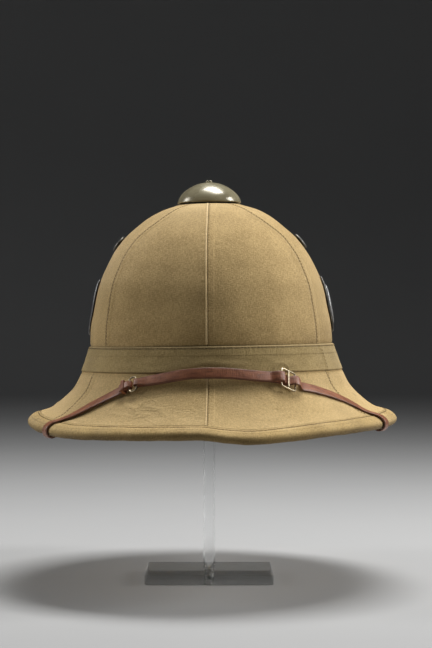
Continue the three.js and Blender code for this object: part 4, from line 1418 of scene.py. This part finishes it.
def badge(name, turn):
    """A plain bent shield with a raised border and softened edges."""
    outline = curve_through(BADGE_OUTLINE, 1)

    def thickness(share, across):
        tall = BADGE["top"] - BADGE["bottom"]
        half = outline(share)
        from_edge = min((1 - abs(across)) * half, share * tall, (1 - share) * tall)
        rounded = 0.45 + 0.55 * smooth_step(0, 0.8, from_edge)
        border = 0.28 * bell(from_edge - 1.5, 0.7)
        return BADGE["thickness"] * (0.72 * rounded) + border

    ends = (BADGE["top"], BADGE["bottom"])
    return mesh_piece(name, *crown_plate(turn, ends, outline, BADGE["lift"], thickness, 44, 36))


def badge_boss(name, turn):
    """A smooth raised oval."""
    tall = BOSS["half_height"]

    def round_share(share):
        return math.sqrt(max(1 - (2 * share - 1) ** 2, 0.004))

    def swell(share, across):
        edge = 1 - (across * round_share(share)) ** 2 - (2 * share - 1) ** 2
        return 0.3 + (BOSS["thickness"] - 0.3) * math.sqrt(max(edge, 0))

    def half_width(share):
        return BOSS["half_width"] * round_share(share)

    lift = BADGE["lift"] + BADGE["thickness"]
    ends = (BOSS["height"] + tall, BOSS["height"] - tall)
    return mesh_piece(name, *crown_plate(turn, ends, half_width, lift, swell, 36, 24))


# ------------------------------------------------------------------ chin strap


def route_points(route):
    """Points of a smooth curve through a route: turn, reach and lift."""
    knots = [Vector((turn * PER_TURN, reach * PER_REACH, lift)) for turn, reach, lift in route]
    knots = [2 * knots[0] - knots[1], *knots, 2 * knots[-1] - knots[-2]]
    points = []
    for a, b, c, d in zip(knots, knots[1:], knots[2:], knots[3:]):
        for i in range(ROUTE_STEPS):
            t = i / ROUTE_STEPS
            out = (c - a) / 2
            into = (d - b) / 2
            cubic = 2 * b - 2 * c + out + into
            square = -3 * b + 3 * c - 2 * out - into
            points.append(cubic * t**3 + square * t**2 + out * t + b)
    points.append(knots[-2])
    return [(point.x / PER_TURN, point.y / PER_REACH, point.z) for point in points]


def route_samples(route):
    """Samples along a route: turn, point, the face's normal, the direction across, and distance."""
    samples = []
    for turn, reach, lift in route_points(route):
        point, normal = strap_face(turn, reach)
        samples.append({"turn": turn, "point": point + normal * lift, "normal": normal})
    backwards = route[0][0] > route[-1][0]
    for i, sample in enumerate(samples):
        before = samples[max(i - 1, 0)]["point"]
        after = samples[min(i + 1, len(samples) - 1)]["point"]
        along = before - after if backwards else after - before
        sample["across"] = sample["normal"].cross(along).normalized()
        sample["normal"] = along.cross(sample["across"]).normalized()
    distance = 0
    for i, sample in enumerate(samples):
        if i > 0:
            distance += (sample["point"] - samples[i - 1]["point"]).length
        sample["distance"] = distance
        narrowing = 1 - smooth_step(0, STRAP["taper_end"], distance)
        sample["width"] = STRAP["width"] - STRAP["taper"] * narrowing
    return samples


long_samples = route_samples(STRAP_LONG_ROUTE)
left_samples = route_samples(STRAP_LEFT_ROUTE)
ring_across = (long_samples[0]["across"] + left_samples[0]["across"]).normalized()
for sample in long_samples + left_samples:
    share = 1 - smooth_step(0, STRAP["closed"], sample["distance"])
    sample["across"] = sample["across"].lerp(ring_across, share).normalized()


def shifted(sample, amount):
    """A sample moved along its normal."""
    return {**sample, "point": sample["point"] + sample["normal"] * amount}


def layer_spread(distance):
    """How far a layer stands from the middle of a doubled strap: wide at the ring, close beyond."""
    return FOLD_RADIUS + (LAYERS - FOLD_RADIUS) * smooth_step(0, STRAP["closed"], distance)


FOLD_STEPS = 9


def fold_samples(first, second):
    """The half turn round the ring's wire, from one layer to the other."""
    away = (first["point"] - second["point"]).normalized()
    folds = []
    for i in range(FOLD_STEPS):
        angle = math.pi * (i + 1) / (FOLD_STEPS + 1)
        offset = away * math.sin(angle) + first["normal"] * math.cos(angle)
        folds.append({**first, "point": first["point"] + FOLD_RADIUS * offset})
    return folds


buckle_sample = min(long_samples, key=lambda sample: abs(sample["turn"] - BUCKLE["turn"]))
buckle_lift = LAYERS + STRAP["thickness"] / 2 + GAP + BUCKLE["wire"]


def threading(distance):
    """How far the long strap climbs over the buckle's outer bars; it goes behind the middle one."""
    over = BUCKLE["wire"] + BUCKLE["clearance"] + STRAP["thickness"] / 2
    from_middle = abs(distance - buckle_sample["distance"])
    climb = smooth_step(*THREADING["climb"], from_middle)
    descent = 1 - smooth_step(*THREADING["descent"], from_middle)
    return (buckle_lift + over - LAYERS) * min(climb, descent)


def front_layer(sample):
    """The long strap's upper layer, which ends up on the brim past the buckle."""
    distance = sample["distance"]
    past_buckle = distance - buckle_sample["distance"]
    settled = smooth_step(*THREADING["settling"], past_buckle)
    rest = layer_spread(distance) if past_buckle < 0 else LAYERS * (1 - settled)
    return shifted(sample, rest + threading(distance))


# A strap's section, as shares of its half width and half thickness, clockwise
STRAP_SECTION = [
    (-0.985, -0.75),
    (-1, 0),
    (-0.985, 0.7),
    (-0.9, 0.96),
    (-0.7, 1.06),
    (-0.35, 1.1),
    (0, 1.12),
    (0.35, 1.1),
    (0.7, 1.06),
    (0.9, 0.96),
    (0.985, 0.7),
    (1, 0),
    (0.985, -0.75),
    (0.9, -1),
    (0.45, -1),
    (0, -1),
    (-0.45, -1),
    (-0.9, -1),
]


def strap_piece(name, samples):
    """A flat leather strip with rounded edges along samples."""
    sections, along = [], [0]
    for i, sample in enumerate(samples):
        before = samples[max(i - 1, 0)]["point"]
        after = samples[min(i + 1, len(samples) - 1)]["point"]
        if i > 0:
            along.append(along[-1] + (sample["point"] - before).length)
        face = (after - before).normalized().cross(sample["across"]).normalized()
        half = sample["width"] / 2
        waver = 0.12 * noise.noise(sample["point"] * 0.12)
        across = sample["across"] * (half + waver)
        up = face * (STRAP["thickness"] / 2)
        sections.append([sample["point"] + across * x + up * y for x, y in STRAP_SECTION])
    points, faces = sweep(sections)
    size = len(STRAP_SECTION)
    pairs = []
    for face in faces:
        for corner in face:
            i, j = divmod(corner, size)
            pairs.append((STRAP_SECTION[j][0] * STRAP["width"] / 2, along[i]))
    return mesh_piece(name, points, faces, uvs={"strap": pairs})


def strap_long():
    back_end = buckle_sample["distance"] + 1
    doubled = [sample for sample in long_samples if sample["distance"] < back_end]
    back = [shifted(sample, -layer_spread(sample["distance"])) for sample in reversed(doubled)]
    fold = fold_samples(long_samples[0], long_samples[1])[::-1]
    front = [front_layer(sample) for sample in long_samples]
    return strap_piece("strap_long_leather", back + fold + front)


def strap_left():
    folded = [sample for sample in left_samples if sample["distance"] < STRAP["folded_end"]]
    front = [shifted(sample, 2 * layer_spread(sample["distance"])) for sample in reversed(folded)]
    wire_place = shifted(left_samples[0], FOLD_RADIUS)
    fold = fold_samples(wire_place, shifted(left_samples[1], FOLD_RADIUS))
    return strap_piece("strap_left_leather", front + fold + left_samples)


def rounded_rectangle(half_width, half_height, corner, steps=6):
    """Points anticlockwise round a rectangle with round corners."""
    points = []
    centres = [(1, -1, -90), (1, 1, 0), (-1, 1, 90), (-1, -1, 180)]
    for x, y, start in centres:
        for i in range(steps + 1):
            angle = (start + 90 * i / steps) * DEG
            across = x * (half_width - corner) + corner * math.cos(angle)
            up = y * (half_height - corner) + corner * math.sin(angle)
            points.append((across, up))
    return points


# The keeper's section: place along the strap and height, both as shares. It has three ridges.
KEEPER_SECTION = [
    (-1, 0),
    (1, 0),
    (1, 0.7),
    (0.8, 1),
    (0.5, 0.75),
    (0.2, 0.7),
    (0, 1.05),
    (-0.2, 0.7),
    (-0.5, 0.75),
    (-0.8, 1),
    (-1, 0.7),
]


def strap_keeper():
    """A narrow ridged loop round the short strap's folded end."""
    place = next(sample for sample in left_samples if sample["distance"] > KEEPER["distance"])
    apart = (FOLD_RADIUS + LAYERS) / 2
    half_width = STRAP["width"] / 2 + GAP
    half_height = apart + STRAP["thickness"] / 2 + 2 * GAP
    along = -place["across"].cross(place["normal"])
    frame = frame_on(place["point"] + place["normal"] * apart, place["normal"], along)
    inner = rounded_rectangle(half_width, half_height, 0.6)
    outer = rounded_rectangle(half_width + KEEPER["thickness"], half_height + KEEPER["thickness"], 1.4)
    sections = []
    for (x, z), (far_x, far_z) in zip(inner, outer):
        section = []
        for y, share in KEEPER_SECTION:
            there = Vector((x + (far_x - x) * share, y * KEEPER["width"] / 2, z + (far_z - z) * share))
            section.append(frame @ there)
        sections.append(section)
    points, faces = sweep(sections, closed=True)
    pairs = [(2.0, corner * 0.9) for face in faces for corner in face]
    return mesh_piece("strap_keeper_loop", points, faces, uvs={"strap": pairs})


def squared(value):
    """A sine or cosine, pushed out so that the ring's corners fill."""
    return math.copysign(abs(value) ** (2 / RING["squareness"]), value)


def strap_ring():
    """The oval wire ring that both folds go round."""
    right = long_samples[0]
    left = shifted(left_samples[0], FOLD_RADIUS)
    middle = (right["point"] + left["point"]) / 2
    sideways = right["point"] - left["point"]
    half_width = sideways.length / 2
    normal = (right["normal"] + left["normal"]).normalized()
    frame = frame_on(middle, normal, normal.cross(sideways))
    half_height = RING["half_height"]
    oval = [(squared(math.cos(a)) * half_width, squared(math.sin(a)) * half_height) for a in circle(64)]
    return mesh_piece("strap_ring_wire", *wire(frame, oval, RING["wire"], closed=True))


def buckle():
    """A three-bar slide bent from wire: a frame with a middle bar."""
    half_width, half_height = BUCKLE["half_width"], BUCKLE["half_height"]
    radius, corner = BUCKLE["wire"], BUCKLE["corner"]
    middle = buckle_sample["point"] + buckle_sample["normal"] * buckle_lift
    frame = frame_on(middle, buckle_sample["normal"], buckle_sample["across"])
    outline = rounded_rectangle(half_width, half_height, corner, steps=8)
    bent = [(x, y - BUCKLE["bent"] * max(x, 0)) for x, y in outline]
    upright = [(0, y) for y in spread(-half_height, half_height, 16)]
    loop = wire(frame, bent, radius, closed=True)
    bar = wire(frame, upright, radius * 0.95)
    return mesh_piece("buckle_wire", *joined([loop, bar]))


def strap_anchor(name, samples):
    """A domed stud that holds a strap's hidden end."""
    sample = samples[-ANCHOR["samples_from_end"]]
    foot = STRAP["thickness"] / 2 + 2 * GAP
    profile = [
        (AXIS, foot),
        (ANCHOR["radius"], foot),
        (ANCHOR["radius"], foot + 0.25),
        (ANCHOR["radius"] * 0.85, foot + ANCHOR["thickness"] * 0.75),
        (ANCHOR["radius"] * 0.5, foot + ANCHOR["thickness"]),
        (AXIS, foot + ANCHOR["thickness"] * 1.1),
    ]
    frame = frame_on(sample["point"], sample["normal"], sample["across"])
    return mesh_piece(name, *turned(profile, 32, frame))


# ------------------------------------------------------------------ stand


def stand_base():
    """A clear plate with polished bevels and a screw hole."""
    bevel, thickness = BASE["bevel"], BASE["thickness"]
    pairs = rounded_rectangle(BASE["width"] / 2, BASE["depth"] / 2, BASE["corner"], steps=8)
    outline = [Vector((x, y, 0)) for x, y in pairs]
    dense = []
    for a, b in zip(outline, outline[1:] + outline[:1]):
        count = max(1, round((b - a).length / 4))
        dense += [a.lerp(b, i / count) for i in range(count)]

    def raised(point, height):
        return point + Vector((0, 0, height))

    sections = []
    for point in dense:
        hole = point.normalized() * BASE["hole"]
        inset = point - Vector((math.copysign(bevel, point.x), math.copysign(bevel, point.y), 0))
        side = [inset, raised(point, bevel), raised(point, thickness - bevel), raised(inset, thickness)]
        sections.append([hole, *side, raised(hole, thickness)])
    points, faces = sweep(sections, closed=True)
    return mesh_piece("stand_plate", points, faces, place=STAND_PLACE, flat=True)


def stand_rod():
    bottom = BASE["thickness"] + GAP
    top = PAD["top"] - PAD["thickness"] - GAP
    radius, bevel = ROD["radius"], ROD["bevel"]
    profile = [(AXIS, bottom), (radius - bevel, bottom), (radius, bottom + bevel)]
    profile += [(radius, height) for height in spread(bottom + 12, top - 12, 12)]
    profile += [(radius, top - bevel), (radius - bevel, top), (AXIS, top)]
    return mesh_piece("stand_post", *turned(profile, 64), place=STAND_PLACE)


def stand_pad():
    low = PAD["top"] - PAD["thickness"]
    radius, bevel = PAD["radius"], PAD["bevel"]
    profile = [
        (AXIS, low),
        (radius - 0.4, low),
        (radius, low + 0.4),
        (radius, PAD["top"] - bevel),
        (radius - bevel, PAD["top"]),
        (AXIS, PAD["top"]),
    ]
    return mesh_piece("stand_disc", *turned(profile, 64), place=STAND_PLACE)


def stand_screw():
    """A slotless screw with a threaded shank."""
    bottom, head, shank = SCREW["bottom"], SCREW["head"], SCREW["shank"]
    neck = bottom + SCREW["head_height"]
    top = BASE["thickness"]
    profile = [(AXIS, bottom), (head - 0.4, bottom), (head, bottom + 0.4), (head, neck - 0.3)]
    profile += [(head - 0.3, neck), (shank, neck)]
    threads = 6
    for i in range(threads):
        height = neck + 0.3 + (top - neck - 0.5) * i / threads
        profile += [(shank, height), (shank - 0.3, height + 0.3)]
    profile += [(shank - 0.3, top), (AXIS, top)]
    return mesh_piece("stand_bolt", *turned(profile, 40), place=STAND_PLACE)


# ------------------------------------------------------------------ studio


FLOOR = {"height": -0.3, "inner": 1200, "flat": 3600, "bend": 1600, "wall": 3200}
BEND_STEPS = 12


def studio_floor():
    """A pale floor that sweeps up into a low wall all round."""
    low, inner, flat, bend, wall = FLOOR.values()
    profile = [(AXIS, low), (inner, low), (flat, low)]
    for i in range(1, BEND_STEPS + 1):
        angle = math.pi / 2 * i / BEND_STEPS
        profile.append((flat + bend * math.sin(angle), bend * (1 - math.cos(angle))))
    profile.append((flat + bend, wall))
    points, faces = turned(profile, 96)
    size = len(profile)
    faces = [face for k, face in enumerate(faces) if k % size != size - 1]
    floor = mesh_piece("studio_floor", points, faces, place=Matrix.Identity(4))
    floor.data.materials.append(floor_material())


# Softboxes: name, place in metres, point aimed at, width, height, power in watts
SOFTBOXES = [
    ("top_box", (0.2, 0.22, 1.5), (0, 0, 0.2), 0.8, 0.5, 22),
    ("left_box", (-1.25, 0.1, 0.75), (0, 0, 0.25), 0.4, 0.7, 7.5),
    ("right_box", (1.25, 0, 0.8), (0, 0, 0.25), 0.4, 0.7, 13),
    ("front_fill", (0.9, -2, 0.9), (0, 0, 0.2), 0.6, 0.6, 0.4),
]


def studio_lights():
    for name, place, aim, width, height, power in SOFTBOXES:
        light = bpy.data.lights.new(name, "AREA")
        light.shape = "RECTANGLE"
        light.size = width
        light.size_y = height
        light.energy = power
        lamp = bpy.data.objects.new(name, light)
        lamp.location = place
        lamp.rotation_euler = (Vector(aim) - Vector(place)).to_track_quat("-Z", "Y").to_euler()
        lamp.visible_camera = False
        lamp.visible_transmission = False
        bpy.context.scene.collection.objects.link(lamp)
    world = bpy.data.worlds.new("studio air")
    world.use_nodes = True
    background = world.node_tree.nodes["Background"]
    background.inputs["Color"].default_value = shade(205, 208, 212)
    background.inputs["Strength"].default_value = 0.06
    bpy.context.scene.world = world


CAMERA = {"place": (0.0028, -1.3737, 0.198), "lens": 97.6}


def studio_camera():
    """A level camera straight ahead of the helmet."""
    camera = bpy.data.cameras.new("camera")
    camera.lens = CAMERA["lens"]
    camera.sensor_width = 36
    camera.sensor_fit = "AUTO"
    stand = bpy.data.objects.new("camera", camera)
    stand.location = CAMERA["place"]
    stand.rotation_euler = (math.pi / 2, 0, 0)
    bpy.context.scene.collection.objects.link(stand)
    bpy.context.scene.camera = stand
    bpy.context.scene.view_settings.view_transform = "Standard"


# ------------------------------------------------------------------ the object


def dress(piece, material, slot, *replaced):
    """Gives a piece its material and hides the CAD nodes it stands for. The slot is not used."""
    piece.data.materials.append(material)
    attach(piece, "root")
    if replaced:
        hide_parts(*replaced)


def helmet():
    canvas = cloth_material("khaki canvas", shade(204, 174, 120), shade(154, 128, 80))
    brim_canvas = cloth_material("brim canvas", shade(212, 182, 128), shade(168, 142, 92))
    # The band's sewn line gets a fainter painted groove shade.
    band_canvas = cloth_material("band canvas", shade(182, 158, 107), shade(140, 119, 75), sewn=0.3)
    binding_canvas = cloth_material("binding canvas", shade(204, 174, 116), shade(150, 124, 76))
    # The welt's canvas is a lighter copy of the crown's: wear, and painted highlight on the raised
    # welt.
    worn_highlit_welt_canvas = cloth_material("welt canvas worn and highlit", shade(226, 200, 150), shade(192, 164, 114))
    thread = thread_material()
    dress(crown_cover(), canvas, "canvas", "crown")
    dress(crown_seam_stitches(), thread, "canvas")
    dress(front_welt(), worn_highlit_welt_canvas, "canvas")
    dress(brim_cover(), brim_canvas, "canvas", "brim")
    dress(brim_seam_stitches(), thread, "canvas")
    dress(band_cover(), band_canvas, "band_canvas", "hatband")
    dress(band_stitches(), thread, "band_canvas")
    dress(binding_cover(), binding_canvas, "canvas", "edge_binding")
    dress(binding_stitches(), thread, "canvas")


def fittings():
    paint = painted_material()
    dark = metal_material("tarnished metal", shade(120, 118, 112), shade(48, 46, 44), 0.34, tarnish=0.9)
    plate = metal_material("badge plate", shade(128, 128, 128), shade(82, 82, 86), 0.34, tarnish=0.7)
    plated = (shade(176, 176, 174), shade(120, 118, 114))
    bright = metal_material("plated metal", *plated, 0.34, tarnish=0.6)
    pale_wire = metal_material("pale wire", shade(206, 192, 164), shade(104, 88, 66), 0.24, tarnish=0.8)
    gauze = gauze_material()
    leather = leather_material()
    dress(ventilator_cap(), paint, "olive_paint", "ventilator_cap")
    dress(ventilator_collar(), dark, "dark_metal", "ventilator_collar")
    dress(ventilator_stud(), paint, "olive_paint", "ventilator_stud")
    for side, turn in (("left", -90), ("right", 90)):
        dress(side_vent(f"eyelet_{side}", turn), dark, "dark_metal", f"side_vent_{side}")
        dress(vent_gauze(f"gauze_{side}", turn), gauze, "dark_metal")
    dress(badge("shield_left", -90), plate, "dark_metal", "badge_left")
    dress(badge("shield_right", 90), dark, "dark_metal", "badge_right")
    dress(badge_boss("shield_boss", 90), bright, "bright_metal", "badge_boss")
    dress(strap_long(), leather, "leather", "strap_long")
    dress(strap_left(), leather, "leather", "strap_left")
    dress(strap_keeper(), leather, "leather", "strap_keeper")
    dress(strap_ring(), pale_wire, "wire", "strap_ring")
    dress(buckle(), pale_wire, "wire", "buckle")
    for side, samples in (("left", left_samples), ("right", long_samples)):
        dress(strap_anchor(f"anchor_{side}", samples), dark, "dark_metal", f"strap_anchor_{side}")


def stand():
    clear = acrylic_material("clear acrylic", shade(240, 243, 243), 0.22)
    smoky = acrylic_material("plate acrylic", shade(210, 216, 218), 0.5)
    steel = metal_material("screw steel", shade(200, 200, 198), shade(110, 108, 104), 0.22, tarnish=0.4)
    dress(stand_base(), smoky, "acrylic", "stand_base")
    dress(stand_rod(), clear, "acrylic", "stand_rod")
    dress(stand_screw(), steel, "dark_metal", "stand_screw")
    dress(stand_pad(), clear, "acrylic", "stand_pad")


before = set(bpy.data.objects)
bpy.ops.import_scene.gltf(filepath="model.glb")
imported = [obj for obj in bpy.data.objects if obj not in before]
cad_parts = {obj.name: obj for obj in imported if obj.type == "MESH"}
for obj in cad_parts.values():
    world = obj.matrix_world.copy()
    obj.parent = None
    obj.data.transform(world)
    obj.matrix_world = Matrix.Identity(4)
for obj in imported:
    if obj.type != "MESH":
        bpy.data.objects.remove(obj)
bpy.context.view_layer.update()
studio_camera()
studio_floor()
studio_lights()
helmet()
fittings()
stand()
